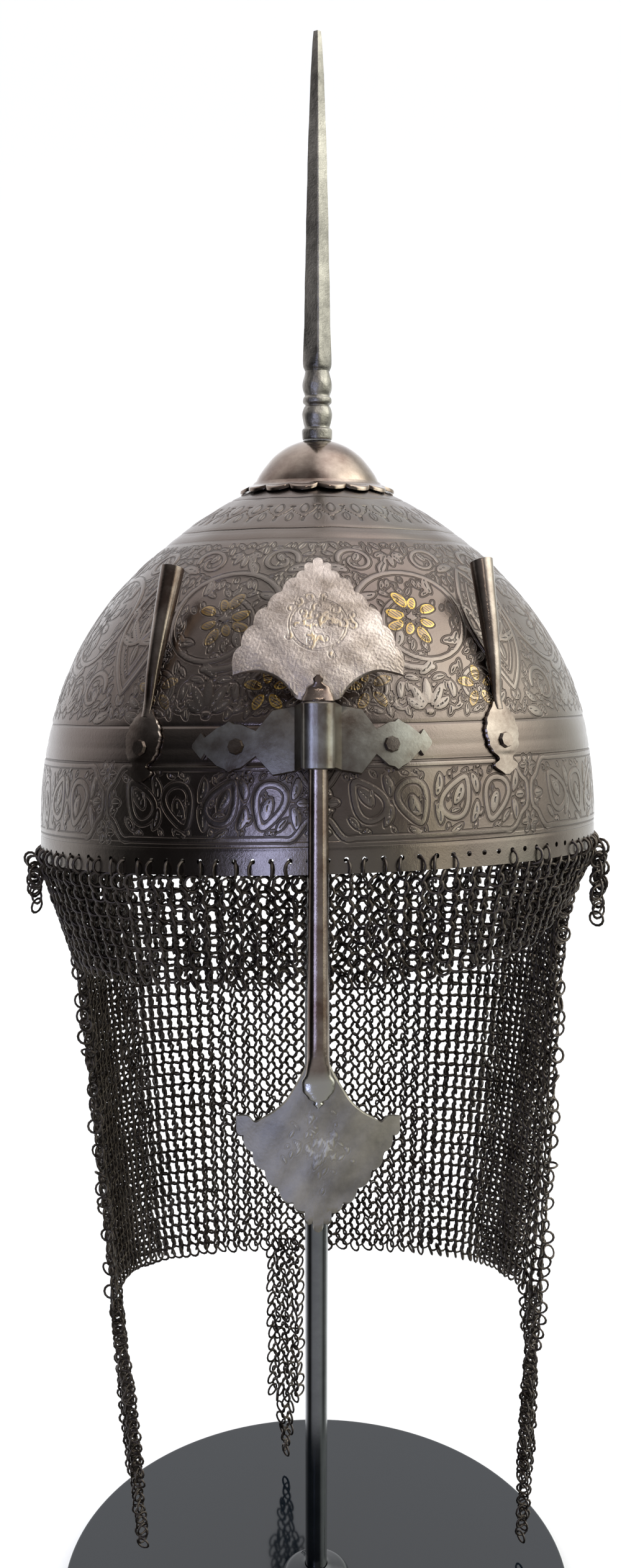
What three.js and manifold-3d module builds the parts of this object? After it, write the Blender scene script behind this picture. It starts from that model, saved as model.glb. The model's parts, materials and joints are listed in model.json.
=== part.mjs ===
// A steel kulah khud: a drilled, domed bowl with a spike, two plume tubes, a sliding nasal
// in a riveted bracket, and a mail aventail with three long points, leaning back on the
// plain pole and round base that display it.
//
// Millimetres and degrees. The part's origin is the centre of the base's underside, +Z is
// up and -Y is the front. The helmet is built in its own frame, with the centre of the
// brim at its origin and +Z through the spike, and is then leant back as one group.

import * as THREE from "three";
import { mergeVertices } from "three/addons/utils/BufferGeometryUtils.js";
import Module from "manifold-3d";

const wasm = await Module();
wasm.setup();

// Fits
const seatGap = 0.3; // air between two pieces that seat on each other
const slideGap = 0.35; // running clearance of the nasal bar in its sleeve

// Bowl
const bowlRadius = 103.2; // outside, at the brim
const bowlHeight = 143; // brim to the crown point under the boss
const bowlWall = 1.8;
const bowlFullness = 2.76; // exponent: how long the wall stays upright
const bowlPoint = 0.808; // exponent: how pointed the crown is
const brimTilt = 1.5; // the brim is hammered a little higher on the right
const bowlFacets = 52;
const brimHoles = 104;
const brimHoleDiameter = 1.8;
const brimHoleRise = 4.6; // hole centres above the brim's edge

// Boss that caps the crown, and the spike on it
const bossRadius = 23.4; // foot of the bell
const bossRise = 9.6; // its flat top above the crown point
const bossWall = 1.5;
const flangeWidth = 5.6; // scalloped edge outside the bell
const flangeThickness = 1.1;
const flangeLobes = 16;
const flangeLobeDepth = 2.2;
const neckHeight = 25.4;
const neckRadius = 5.4;
const bladeLength = 124.7;
const bladeHalfWidth = 5.4; // centre to corner of the square section
const bladeTurn = 4; // the front corner stands a little to the left

// Plume tubes
const plumeTurnLeft = -36; // from the front
const plumeTurnRight = 38.4;
const plumeFootRise = 30.3; // tip of the foot above the brim
const plumeFootLift = 0.4; // the right one sits higher
const plumeFootHeight = 24.6;
const plumeFootWidth = 15.8;
const plumePlate = 1.3; // thickness of the foot
const plumeTubeLength = 50;
const plumeTubeLean = 2.2; // towards the helmet's axis, beyond the wall's slope at its foot
const plumeTubeTilt = 6; // the right one leans outwards as well
const plumeMouthRadius = 4.1;
const plumeTubeWall = 0.8;
const plumeRivetRise = 11.5; // above the foot's tip

// Nasal bracket
const bracketRise = 46.1; // its middle above the brim
const bracketHeight = 22;
const bracketReach = 40.2; // centre line to tip, measured along the bowl
const bracketShare = 0.055; // the left wing is longer by this share, the right one shorter
const bracketDroop = 4; // how much lower the wings sit than the sleeve
const bracketPlate = 1.6;
const sleeveWall = 1.4;
const bracketRivetReach = 25.6;

// Nasal
const barStandoff = 4; // bar's back face outside the brim
const barWidth = 7.6;
const barThickness = 5.8;
const nasalDrop = 97; // sleeve's lower edge to the lower palmette's neck
const palmetteWidth = 54.6;
const palmetteHeight = 56;
const palmetteThickness = 1.8;
const palmetteLobes = 6; // scallops on each side
const palmetteLobeDepth = 1;
const palmetteDish = 130; // radius of the gentle curve across a palmette
const upperLeanFoot = 12; // how far the upper palmette leans back at its neck
const upperLeanTip = 50; // and at its tip
const barPadWidth = 10.9; // flattened ends of the bar, on the palmettes
const barPadThickness = 1.6;
const barPadLength = 13.6;

// Rivets
const rivetHeadRadius = 2.6;
const rivetHeadHeight = 0.9;
const rivetShankRadius = 1.1;

// Mail aventail
const mailThickness = 2.4;
const faceTurn = 82; // the curtain's front edges, either side of the front
const curtainDrop = 225; // brim to hem at the sides
const hemDip = 15; // how much lower the hem hangs at the back
const hemInset = 17.2; // the hem's sides inside the brim's
const hemBackInset = 1.6; // and its back inside the brim's back
const hemDepth = 52; // middle to back
const hemSquareness = 2.4; // exponent: 2 is an ellipse
const hemEdgeTurn = 22; // degrees of the hem that swing with a front edge
const leftEdgeForward = 13;
const rightEdgeForward = 5;
const rightEdgeOut = 13;
const mailPinch = 0.45; // share of the narrowing that comes just under the brim
const mailPinchLength = 0.08; // share of the drop that it takes
const fringeDrop = 42;
const fringePull = 4; // how far the fringe's lower edge hangs inwards at the front
const fringePinch = 8; // and how much more at its ends
const fringeTorn = 0.3; // share of the drop that is lost at the right end
const pointLength = 134; // long points under the side hem
const pointWidth = 15;
const pointClearance = 7; // lowest ring above the base
const backPointTurn = 186.6; // the back point hangs left of the middle
const leftPointDrift = 8; // the left point swings inwards

// Stand
const baseRadius = 112.5;
const baseThickness = 6;
const poleRadius = 4.75;
const collarRadius = 15;
const collarHeight = 10;
const padRadius = 13;
const padHeight = 16;
const leanBack = 19; // of the helmet on its pole
const brimForward = 19; // centre of the brim in front of the pole

const radians = THREE.MathUtils.degToRad;
const bossTop = bowlHeight + bossRise;
const hemHalfWidth = bowlRadius - hemInset;
const hemBack = bowlRadius * Math.cos(radians(leanBack)) - hemBackInset - hemDepth;
const brimLift = baseThickness + pointClearance + pointLength + curtainDrop;
const helmetFrame = new THREE.Matrix4()
  .makeRotationX(-radians(leanBack))
  .setPosition(0, -brimForward, brimLift);

// Finishes
const finish = (color, roughness, metalness = 1) =>
  new THREE.MeshStandardMaterial({ color, roughness, metalness });
const russetSteel = finish(0x4a423d, 0.42);
const polishedSteel = finish(0x6a625c, 0.35);
const mailWire = finish(0x37322d, 0.5);
const blackLacquer = finish(0x15181b, 0.25, 0.2);

// Solids

// A closed mesh with its shared vertices merged and its faces turned outwards.
function closed(positions, index) {
  let geometry = new THREE.BufferGeometry();
  geometry.setAttribute("position", new THREE.Float32BufferAttribute(positions, 3));
  if (index) geometry.setIndex(index);
  geometry = mergeVertices(geometry, 1e-4);
  const p = geometry.attributes.position;
  const ids = geometry.index.array;
  const [a, b, c] = [new THREE.Vector3(), new THREE.Vector3(), new THREE.Vector3()];
  let volume = 0;
  for (let i = 0; i < ids.length; i += 3) {
    a.fromBufferAttribute(p, ids[i]);
    b.fromBufferAttribute(p, ids[i + 1]);
    c.fromBufferAttribute(p, ids[i + 2]);
    volume += a.dot(b.cross(c));
  }
  if (volume < 0) ids.reverse();
  geometry.computeVertexNormals();
  return geometry;
}

function manifold(geometry) {
  return new wasm.Manifold(
    new wasm.Mesh({
      numProp: 3,
      vertProperties: new Float32Array(geometry.attributes.position.array),
      triVerts: new Uint32Array(geometry.index.array),
    }),
  );
}

function geometryOf(solid) {
  const mesh = solid.getMesh();
  return closed(Array.from(mesh.vertProperties), Array.from(mesh.triVerts));
}

const joined = (...parts) => geometryOf(parts.map(manifold).reduce((a, b) => a.add(b)));
const cut = (body, ...tools) =>
  geometryOf(tools.map(manifold).reduce((a, b) => a.subtract(b), manifold(body)));

// A profile of [radius, height] pairs turned about Z; shape(angle, radius, height) may move
// each point in or out and up or down.
function turned(profile, facets, shape = (angle, radius, height) => [radius, height]) {
  const lathe = new THREE.LatheGeometry(
    profile.map(([radius, height]) => new THREE.Vector2(radius, height)),
    facets,
  );
  const p = lathe.attributes.position;
  const positions = [];
  for (let i = 0; i < p.count; i++) {
    const flat = Math.hypot(p.getX(i), p.getZ(i));
    const angle = Math.atan2(p.getX(i), p.getZ(i));
    const [radius, height] = shape(angle, flat, p.getY(i));
    const on = flat < 1e-6 ? 0 : radius;
    positions.push(on * Math.sin(angle), -on * Math.cos(angle), height);
  }
  return closed(positions, Array.from(lathe.index.array));
}

// A sheet with two faces: place(column, row, side) gives its points, side 0 the back.
function sheet(columns, rows, place) {
  const positions = [];
  for (const side of [0, 1])
    for (let i = 0; i < columns; i++)
      for (let j = 0; j < rows; j++) positions.push(...place(i, j, side));
  const id = (i, j, side) => (side * columns + i) * rows + j;
  const index = [];
  const quad = (a, b, c, d) => index.push(a, b, c, a, c, d);
  for (let i = 0; i < columns - 1; i++) {
    for (let j = 0; j < rows - 1; j++) {
      quad(id(i, j, 1), id(i + 1, j, 1), id(i + 1, j + 1, 1), id(i, j + 1, 1));
      quad(id(i, j, 0), id(i, j + 1, 0), id(i + 1, j + 1, 0), id(i + 1, j, 0));
    }
    const last = rows - 1;
    quad(id(i, 0, 0), id(i + 1, 0, 0), id(i + 1, 0, 1), id(i, 0, 1));
    quad(id(i, last, 1), id(i + 1, last, 1), id(i + 1, last, 0), id(i, last, 0));
  }
  for (let j = 0; j < rows - 1; j++) {
    const last = columns - 1;
    quad(id(0, j, 1), id(0, j + 1, 1), id(0, j + 1, 0), id(0, j, 0));
    quad(id(last, j, 0), id(last, j + 1, 0), id(last, j + 1, 1), id(last, j, 1));
  }
  return closed(positions, index);
}

// Rings of points joined one to the next and closed at both ends.
function loft(rings) {
  const sides = rings[0].length;
  const positions = rings.flat(2);
  const index = [];
  for (let k = 0; k < rings.length - 1; k++)
    for (let i = 0; i < sides; i++) {
      const [a, b] = [k * sides + i, k * sides + ((i + 1) % sides)];
      index.push(a, b, b + sides, a, b + sides, a + sides);
    }
  for (const [k, flip] of [[0, true], [rings.length - 1, false]]) {
    const middle = new THREE.Vector3();
    rings[k].forEach((point) => middle.add(new THREE.Vector3(...point)));
    middle.divideScalar(sides);
    const centre = positions.length / 3;
    positions.push(...middle.toArray());
    for (let i = 0; i < sides; i++) {
      const [a, b] = [k * sides + i, k * sides + ((i + 1) % sides)];
      index.push(centre, flip ? b : a, flip ? a : b);
    }
  }
  return closed(positions, index);
}

// The point a share of the way along a row of points, by their number.
function along(points, share) {
  const place = share * (points.length - 1);
  const k = Math.min(Math.floor(place), points.length - 2);
  return points[k].map((value, n) => THREE.MathUtils.lerp(value, points[k + 1][n], place - k));
}

// The bowl's outside

const domeRadius = (height, radius = bowlRadius, crown = bowlHeight) =>
  radius * (1 - Math.min(1, Math.max(0, height) / crown) ** bowlFullness) ** bowlPoint;
const domeHeight = (radius) =>
  bowlHeight * (1 - (radius / bowlRadius) ** (1 / bowlPoint)) ** (1 / bowlFullness);
// How much the tilt of the brim lifts a point of the bowl; it fades towards the crown.
const tiltLift = (x, height) => x * Math.tan(radians(brimTilt)) * (1 - height / bowlHeight);
const innerRadius = bowlRadius - bowlWall;
const innerHeight = bowlHeight - 1.35 * bowlWall;

// How far the outward normal points up at a height, in radians.
function domeSlope(height) {
  const step = 0.5;
  return Math.atan((domeRadius(height - step) - domeRadius(height + step)) / (2 * step));
}

// A point off the bowl's front meridian: across is along the bowl, off is outwards.
function onBowl(across, height, off) {
  const slope = domeSlope(height);
  const angle = across / domeRadius(height);
  const radius = domeRadius(height) + off * Math.cos(slope);
  return [radius * Math.sin(angle), -radius * Math.cos(angle), height + off * Math.sin(slope)];
}

// A shape drawn with +Z outwards, seated on the bowl at a turn from the front.
function seated(geometry, turn, height, off = 0) {
  const [, y, z] = onBowl(0, height, off);
  const seat = new THREE.Matrix4()
    .makeRotationX(Math.PI / 2 - domeSlope(height))
    .setPosition(0, y, z);
  return turnedTo(geometry.clone().applyMatrix4(seat), turn, height);
}

// A piece made at the front, turned round the bowl and lifted as the bowl is there.
function turnedTo(geometry, turn, height) {
  const angle = radians(turn);
  const lift = tiltLift(domeRadius(height) * Math.sin(angle), height);
  return geometry.applyMatrix4(
    new THREE.Matrix4().makeRotationZ(angle).setPosition(0, 0, lift),
  );
}

const wingRise = bracketRise - bracketDroop;
const rivetTurn = THREE.MathUtils.radToDeg(bracketRivetReach / domeRadius(wingRise));
const plumeFeet = {
  left: { turn: plumeTurnLeft, rise: plumeFootRise, tilt: 0 },
  right: { turn: plumeTurnRight, rise: plumeFootRise + plumeFootLift, tilt: plumeTubeTilt },
};
const rivetSeats = {
  bracket_rivet_left: {
    turn: -rivetTurn * (1 + bracketShare),
    plate: bracketPlate,
    height: wingRise,
  },
  bracket_rivet_right: {
    turn: rivetTurn * (1 - bracketShare),
    plate: bracketPlate,
    height: wingRise,
  },
};
for (const [side, { turn, rise }] of Object.entries(plumeFeet)) {
  const height = rise + plumeRivetRise;
  rivetSeats[`plume_rivet_${side}`] = { turn, plate: plumePlate, height };
}

// A drill of a radius that goes well through the wall and whatever is riveted on it.
function drill(radius, facets) {
  const reach = 3 * bowlWall;
  return turned([[0, -reach], [radius, -reach], [radius, reach], [0, reach]], facets);
}
const rivetDrill = drill(rivetShankRadius + seatGap, 8);
const drilled = (body, names) =>
  cut(
    body,
    ...names.map((name) =>
      seated(rivetDrill, rivetSeats[name].turn, rivetSeats[name].height),
    ),
  );

// A rivet from its head over the plate to the tail that is spread inside the bowl.
function rivet({ turn, plate, height }) {
  const top = 2 * seatGap + plate;
  const inside = -bowlWall - 3 * seatGap;
  const profile = [
    [0, inside - 0.9 * rivetHeadHeight],
    [1.7 * rivetShankRadius, inside - 0.9 * rivetHeadHeight],
    [1.9 * rivetShankRadius, inside],
    [rivetShankRadius, inside],
    [rivetShankRadius, top],
    [rivetHeadRadius, top],
    [0.9 * rivetHeadRadius, top + rivetHeadHeight],
    [0, top + rivetHeadHeight],
  ];
  return seated(turned(profile, 10), turn, height);
}

// Bowl

function bowl() {
  const outerShares = [1, 0.985, 0.96, 0.92, 0.87, 0.81, 0.73, 0.64, 0.53, 0.4, 0.25, 0.08, 0];
  const innerShares = [0, 0.1, 0.26, 0.35, 0.47, 0.61, 0.73, 0.83, 0.91, 0.97, 1];
  const shell = turned(
    [
      ...outerShares.map((share) => [domeRadius(share * bowlHeight), share * bowlHeight]),
      ...innerShares.map((share) => [
        domeRadius(share * innerHeight, innerRadius, innerHeight),
        share * innerHeight,
      ]),
    ],
    bowlFacets,
    (angle, radius, height) => [radius, height + tiltLift(radius * Math.sin(angle), height)],
  );
  const hole = drill(brimHoleDiameter / 2, 4);
  const holes = Array.from({ length: brimHoles }, (_, k) =>
    seated(hole, ((k + 0.5) * 360) / brimHoles, brimHoleRise),
  );
  return drilled(cut(shell, ...holes), Object.keys(rivetSeats));
}

// Boss: a bell raised from one plate, with a scalloped flange lying on the bowl.
// Each row is [share of the bell's radius, share of the bell's rise above its foot].
const bossBell = [
  [0.23, 1],
  [0.47, 0.87],
  [0.67, 0.69],
  [0.81, 0.49],
  [0.93, 0.27],
  [1, 0.08],
];

function boss() {
  const foot = domeHeight(bossRadius) + seatGap;
  const rise = bossTop - foot;
  const outside = bossBell.map(([out, up]) => [out * bossRadius, foot + up * rise]);
  const flangeEdge = bossRadius + flangeWidth;
  const seat = (radius) => domeHeight(radius) + seatGap / Math.cos(domeSlope(domeHeight(radius)));
  const profile = [
    [0, bossTop],
    ...outside,
    [bossRadius + bossWall, seat(bossRadius + bossWall) + flangeThickness],
    [flangeEdge, seat(flangeEdge) + flangeThickness],
    [flangeEdge, seat(flangeEdge)],
    [bossRadius, seat(bossRadius)],
    ...outside
      .slice(0, -1)
      .reverse()
      .map(([radius, height]) => [radius - bossWall * 0.8, height - bossWall]),
    [0, bossTop - bossWall],
  ];
  return turned(profile, 2 * flangeLobes, (angle, radius, height) => {
    if (radius < bossRadius + flangeWidth / 2) return [radius, height];
    const inward = flangeLobeDepth * (0.5 + 0.5 * Math.cos(flangeLobes * angle));
    const drawn = radius - inward;
    return [drawn, height + seat(drawn) - seat(radius)];
  });
}

// Spike: a turned neck of two beads and rings, forged in one with a long square blade.
// Neck rows are [share of the neck's radius, share of its height].
const spikeNeck = [
  [1, 0],
  [1.04, 0.03],
  [1.02, 0.14],
  [0.86, 0.18],
  [0.95, 0.25],
  [1.04, 0.36],
  [0.92, 0.46],
  [0.82, 0.5],
  [0.98, 0.54],
  [0.98, 0.6],
  [0.87, 0.64],
  [0.98, 0.72],
  [1, 0.82],
  [0.88, 0.94],
  [0.82, 1],
];
// Blade rows are [share of its half width, share of its length].
const spikeBlade = [
  [0.72, -0.02],
  [0.86, 0],
  [1, 0.035],
  [0.93, 0.2],
  [0.8, 0.45],
  [0.68, 0.65],
  [0.5, 0.85],
  [0.36, 0.96],
  [0.27, 1],
];

function spike() {
  const foot = bossTop + seatGap;
  const neck = turned(
    [
      [0, foot],
      ...spikeNeck.map(([out, up]) => [out * neckRadius, foot + up * neckHeight]),
      [0, foot + neckHeight],
    ],
    16,
  );
  const corners = [0, 90, 180, 270].map((turn) => radians(turn + bladeTurn));
  const blade = loft(
    spikeBlade.map(([out, up]) =>
      corners.map((turn) => [
        out * bladeHalfWidth * Math.sin(turn),
        -out * bladeHalfWidth * Math.cos(turn),
        foot + neckHeight + up * bladeLength,
      ]),
    ),
  );
  return joined(neck, blade);
}

// Plume tubes: a rolled tube flattened to a stalk and a leaf-shaped foot, in one piece.
// Foot rows are [share of the foot's height from its tip, share of its width].
const plumeFoot = [
  [0, 0.05],
  [0.07, 0.3],
  [0.15, 0.56],
  [0.22, 0.5],
  [0.28, 0.54],
  [0.4, 0.86],
  [0.52, 0.94],
  [0.58, 1],
  [0.66, 0.94],
  [0.8, 0.78],
  [0.92, 0.44],
  [1, 0.28],
];
// Tube rows are [share of its length, half its width and half its depth as shares of the mouth].
const plumeTube = [
  [-0.06, 0.4, 0.2],
  [0.05, 0.46, 0.26],
  [0.25, 0.62, 0.52],
  [0.55, 0.8, 0.76],
  [1, 1, 1],
];

function plumeTubeRing([share, wide, deep], { rise: footRise, tilt }, shrink, sides = 14) {
  const lean = domeSlope(footRise + plumeFootHeight) + radians(plumeTubeLean);
  const [, footY, footZ] = onBowl(0, footRise + plumeFootHeight, seatGap + plumePlate / 2);
  const up = share * plumeTubeLength;
  const rise = (deep - 0.15) * plumeMouthRadius * 0.8; // the tube's back stays off the bowl
  return Array.from({ length: sides }, (_, k) => {
    const turn = (2 * Math.PI * k) / sides;
    const slant = Math.max(0, up) * Math.tan(radians(tilt));
    const across = (wide * plumeMouthRadius - shrink) * Math.sin(turn) + slant;
    const out = (deep * plumeMouthRadius - shrink) * Math.cos(turn) + rise;
    return [
      across,
      footY + up * Math.sin(lean) - out * Math.cos(lean),
      footZ + up * Math.cos(lean) + out * Math.sin(lean),
    ];
  });
}

function plume(side) {
  const place = plumeFeet[side];
  const foot = sheet(plumeFoot.length, 5, (i, j, face) => {
    const [up, wide] = plumeFoot[i];
    return onBowl(
      (wide * plumeFootWidth * (j - 2)) / 4,
      place.rise + up * plumeFootHeight,
      seatGap + face * plumePlate,
    );
  });
  const outside = loft(plumeTube.map((row) => plumeTubeRing(row, place, 0)));
  const boreRows = [plumeTube[2], plumeTube[3], [1.04, 1.01, 1.01]];
  const bore = loft(boreRows.map((row) => plumeTubeRing(row, place, plumeTubeWall)));
  const rivetHeight = place.rise + plumeRivetRise;
  const made = turnedTo(cut(joined(foot, outside), bore), place.turn, rivetHeight);
  return drilled(made, [`plume_rivet_${side}`]);
}

// Nasal bracket: one strap, bent out into a sleeve for the bar and lobed at both ends.
// Strap rows are [share of its reach along the bowl, share of its half height, share of
// the droop].
const bracketStrap = [
  [0.19, 0.98, 0.4],
  [0.36, 0.98, 0.7],
  [0.49, 0.38, 0.75],
  [0.605, 0.66, 0.95],
  [0.66, 0.69, 1],
  [0.695, 0.78, 1],
  [0.73, 0.68, 1],
  [0.79, 0.58, 1],
  [0.895, 0.24, 0.9],
  [0.925, 0.4, 0.9],
  [1, 0.05, 0.95],
];
const barBack = bowlRadius + barStandoff; // distance of the bar's back face from the axis
const boreHalfWidth = barWidth / 2 + slideGap;
const boreDepth = barThickness + 2 * slideGap;

// Stations round the sleeve, seen from above: [sideways, outwards] as shares of the bore's
// half width and depth.
const sleeveArch = [
  [1, 0],
  [1, 0.45],
  [0.86, 0.8],
  [0.5, 0.96],
  [0, 1],
];

function bracket() {
  const half = [...sleeveArch].reverse().map(([wide, deep]) => ({ wide, deep }));
  const strap = bracketStrap.map(([reach, tall, droop]) => ({ reach, tall, droop }));
  const stations = [...half, ...strap];
  const all = [...stations.slice(1).reverse().map((s) => ({ ...s, left: true })), ...stations];
  const rows = [-1, -0.33, 0.33, 1];
  return drilled(
    sheet(all.length, rows.length, (i, j, side) => {
      const { reach, tall = 1, droop = 0, wide, deep, left } = all[i];
      const middle = bracketRise - droop * bracketDroop;
      const height = middle + (rows[j] * tall * bracketHeight) / 2;
      const mirror = left ? -1 : 1;
      if (reach !== undefined) {
        const off = seatGap + side * bracketPlate;
        const longer = 1 - mirror * bracketShare * Math.min(1, 2 * reach - 0.38);
        const [x, y, z] = onBowl(reach * longer * bracketReach, height, off);
        return [mirror * x, y, z + tiltLift(mirror * x, height)];
      }
      const x = wide * (boreHalfWidth + side * sleeveWall);
      const y = -(barBack - slideGap + deep * (boreDepth + side * sleeveWall));
      return [mirror * x, y, height];
    }),
    ["bracket_rivet_left", "bracket_rivet_right"],
  );
}

// Palmettes: a spade of sheet steel with two horns and scalloped sides. Rows are [share of
// its half width, share of its height from the neck]: near runs from the neck to a horn,
// side from the tip to the horn.
const palmetteTip = [
  [0, 1],
  [0.1, 0.985],
  [0.2, 0.955],
  [0.155, 0.915],
];
const lowerPalmette = {
  near: [
    [0, 0],
    [0.13, 0],
    [0.2, 0.06],
    [0.37, 0.2],
    [0.51, 0.27],
    [0.65, 0.315],
    [0.76, 0.345],
    [0.85, 0.31],
    [1, 0.315],
  ],
  side: [
    [0.155, 0.915],
    [0.36, 0.83],
    [0.57, 0.71],
    [0.76, 0.58],
    [0.9, 0.45],
    [1, 0.36],
  ],
};
const upperPalmette = {
  near: [
    [0, 0],
    [0.15, 0],
    [0.26, 0.01],
    [0.34, 0.06],
    [0.46, 0.12],
    [0.6, 0.16],
    [0.74, 0.18],
    [0.88, 0.175],
    [1.03, 0.16],
  ],
  side: [
    [0.155, 0.915],
    [0.32, 0.82],
    [0.53, 0.68],
    [0.74, 0.55],
    [0.92, 0.38],
    [1.05, 0.21],
  ],
};

function palmetteColumns({ near, side }) {
  const far = palmetteTip.map(([out, up]) => [
    (out * palmetteWidth) / 2,
    up * palmetteHeight,
  ]);
  for (let k = 1; k <= 2 * palmetteLobes; k++) {
    const [out, up] = along(side, k / (2 * palmetteLobes));
    const bulge = k % 2 ? palmetteLobeDepth : 0;
    far.push([(out * palmetteWidth) / 2 + 0.6 * bulge, up * palmetteHeight + 0.8 * bulge]);
  }
  const half = far.map((point, k) => {
    const [out, up] = along(near, k / (far.length - 1));
    return { near: [(out * palmetteWidth) / 2, up * palmetteHeight], far: point };
  });
  const mirrored = half
    .slice(1)
    .reverse()
    .map(({ near, far: edge }) => ({ near: [-near[0], near[1]], far: [-edge[0], edge[1]] }));
  return [...mirrored, ...half];
}

// A palmette whose neck is at a height and which runs up (1) or down (-1) from it, leaning
// towards the bowl by lean degrees at its neck and at its tip.
function palmette(shape, neckHeightAt, way, leanNeck, leanTip) {
  const columns = palmetteColumns(shape);
  const rows = 5;
  const bend = radians(leanTip - leanNeck) / palmetteHeight;
  const start = radians(leanNeck);
  return sheet(columns.length, rows, (i, j, side) => {
    const share = j / (rows - 1);
    const x = THREE.MathUtils.lerp(columns[i].near[0], columns[i].far[0], share);
    const up = THREE.MathUtils.lerp(columns[i].near[1], columns[i].far[1], share);
    const lean = start + bend * up;
    const back = bend ? (Math.cos(start) - Math.cos(lean)) / bend : up * Math.sin(start);
    const rise = bend ? (Math.sin(lean) - Math.sin(start)) / bend : up * Math.cos(start);
    const off = side * palmetteThickness - (x * x) / (2 * palmetteDish);
    return [
      x,
      -(barBack - back + off * Math.cos(lean)),
      neckHeightAt + way * (rise + off * Math.sin(lean)),
    ];
  });
}

// Bar rows are [height, half width, back face, front face], the faces from the bar's back.
function nasalBar() {
  const top = bracketRise + bracketHeight / 2 + seatGap;
  const neck = bracketRise - bracketHeight / 2 - nasalDrop;
  const padBack = palmetteThickness + seatGap;
  const padFront = padBack + barPadThickness;
  const pad = barPadWidth / 2;
  const half = barWidth / 2;
  const thick = barPadThickness;
  const rows = [
    [top + 0.62 * barPadLength, 0.1 * pad, padBack + 1.38 * thick, padFront + 0.5 * thick],
    [top + 0.52 * barPadLength, 0.32 * pad, padBack + 0.44 * thick, padFront + 0.25 * thick],
    [top + 0.44 * barPadLength, 0.26 * pad, padBack + 0.31 * thick, padFront],
    [top + 0.3 * barPadLength, 0.7 * pad, padBack + 0.06 * thick, padFront],
    [top, pad, padBack, barThickness],
    [top, 0.86 * half, padBack, barThickness],
    [top - 0.15 * barPadLength, 0.86 * half, 0, barThickness],
    [neck + 0.22 * barPadLength, half, 0, barThickness],
    [neck + seatGap, half, padBack, 0.9 * barThickness],
    [neck - 0.2 * barPadLength, 0.76 * pad, padBack, padFront + 0.5 * thick],
    [neck - 0.42 * barPadLength, pad, padBack, padFront],
    [neck - 0.62 * barPadLength, 0.96 * pad, padBack, padFront],
    [neck - 0.82 * barPadLength, 0.62 * pad, padBack, padFront],
    [neck - 0.9 * barPadLength, 0.26 * pad, padBack, padFront],
    [neck - 0.95 * barPadLength, 0.32 * pad, padBack, padFront],
    [neck - 1.05 * barPadLength, 0.08 * pad, padBack, padFront],
  ];
  const ring = ([height, wide, back, front]) => {
    const deep = front - back;
    const outline = [
      [-1, 0],
      [1, 0],
      [1, 0.45],
      [0.72, 0.85],
      [0.25, 1],
      [-0.25, 1],
      [-0.72, 0.85],
      [-1, 0.45],
    ];
    return outline.map(([across, out]) => [
      across * wide,
      -(barBack + back + out * deep),
      height,
    ]);
  };
  return loft(rows.map(ring));
}

// Mail

const brimPoint = (turn) =>
  new THREE.Vector3(
    (bowlRadius - bowlWall / 2) * Math.sin(turn),
    -(bowlRadius - bowlWall / 2) * Math.cos(turn),
    tiltLift(bowlRadius * Math.sin(turn), 0) - seatGap,
  ).applyMatrix4(helmetFrame);

const rounded = (value) => Math.sign(value) * Math.abs(value) ** (2 / hemSquareness);

// The curtain's middle surface at a turn from the front and a share of the way down.
function curtainPoint(turn, share) {
  const top = brimPoint(turn);
  const [sine, cosine] = [Math.sin(turn), Math.cos(turn)];
  const nearEdge = (fromEdge) => Math.max(0, 1 - fromEdge / radians(hemEdgeTurn)) ** 2;
  const right = nearEdge(turn - radians(faceTurn));
  const left = nearEdge(2 * Math.PI - radians(faceTurn) - turn);
  const forward = share * (right * rightEdgeForward + left * leftEdgeForward);
  const hem = new THREE.Vector3(
    hemHalfWidth * rounded(sine),
    hemBack - brimForward - hemDepth * rounded(cosine),
    baseThickness + pointClearance + pointLength + hemDip * cosine,
  );
  const pinch = mailPinch * (1 - Math.exp(-share / mailPinchLength));
  const drawn = pinch + (1 - mailPinch) * share;
  return new THREE.Vector3(
    THREE.MathUtils.lerp(top.x, hem.x, drawn) + share * right * rightEdgeOut,
    THREE.MathUtils.lerp(top.y, hem.y, drawn) - forward,
    THREE.MathUtils.lerp(top.z, hem.z, share),
  );
}

// A point off the mail's middle surface; along the top edge it stays in the brim's plane.
function offCurtain(turn, share, off, surface = curtainPoint) {
  const step = 0.01;
  const middle = surface(turn, share);
  const across = surface(turn + step, share).sub(surface(turn - step, share));
  const down = surface(turn, share + step).sub(surface(turn, Math.max(0, share - step)));
  const normal = new THREE.Vector3().crossVectors(down, across).normalize();
  const level = new THREE.Vector3(Math.sin(turn), -Math.cos(turn), 0).transformDirection(helmetFrame);
  normal.lerpVectors(level, normal, Math.min(1, share / 0.1)).normalize();
  return middle.addScaledVector(normal, off);
}

const frontEdge = radians(faceTurn);
const curtainSpan = 2 * Math.PI - 2 * frontEdge;

// A long point: a narrow strip of the curtain that goes on hanging plumb from the hem.
// Rows are [share of its length, share of its width].
const pointShape = [
  [-0.06, 1],
  [0, 1],
  [0.7, 0.95],
  [0.86, 0.6],
  [0.95, 0.36],
  [1, 0.3],
];

function mailPoint(middleTurn, drift = 0) {
  const hem = curtainPoint(middleTurn, 1);
  const ahead = curtainPoint(middleTurn + 0.02, 1).sub(curtainPoint(middleTurn - 0.02, 1));
  ahead.setZ(0);
  const turnPerWidth = 0.04 / ahead.length();
  const length = hem.z - baseThickness - pointClearance;
  const thin = (mailThickness * 0.8) / 2;
  return sheet(5, pointShape.length, (i, j, side) => {
    const [down, wide] = pointShape[j];
    const turn = middleTurn + ((i - 2) / 4) * wide * pointWidth * turnPerWidth;
    const place = offCurtain(turn, 1, side ? thin : -thin);
    place.z -= down * length;
    place.x += Math.max(0, down) * drift;
    return place.toArray();
  });
}

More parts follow.
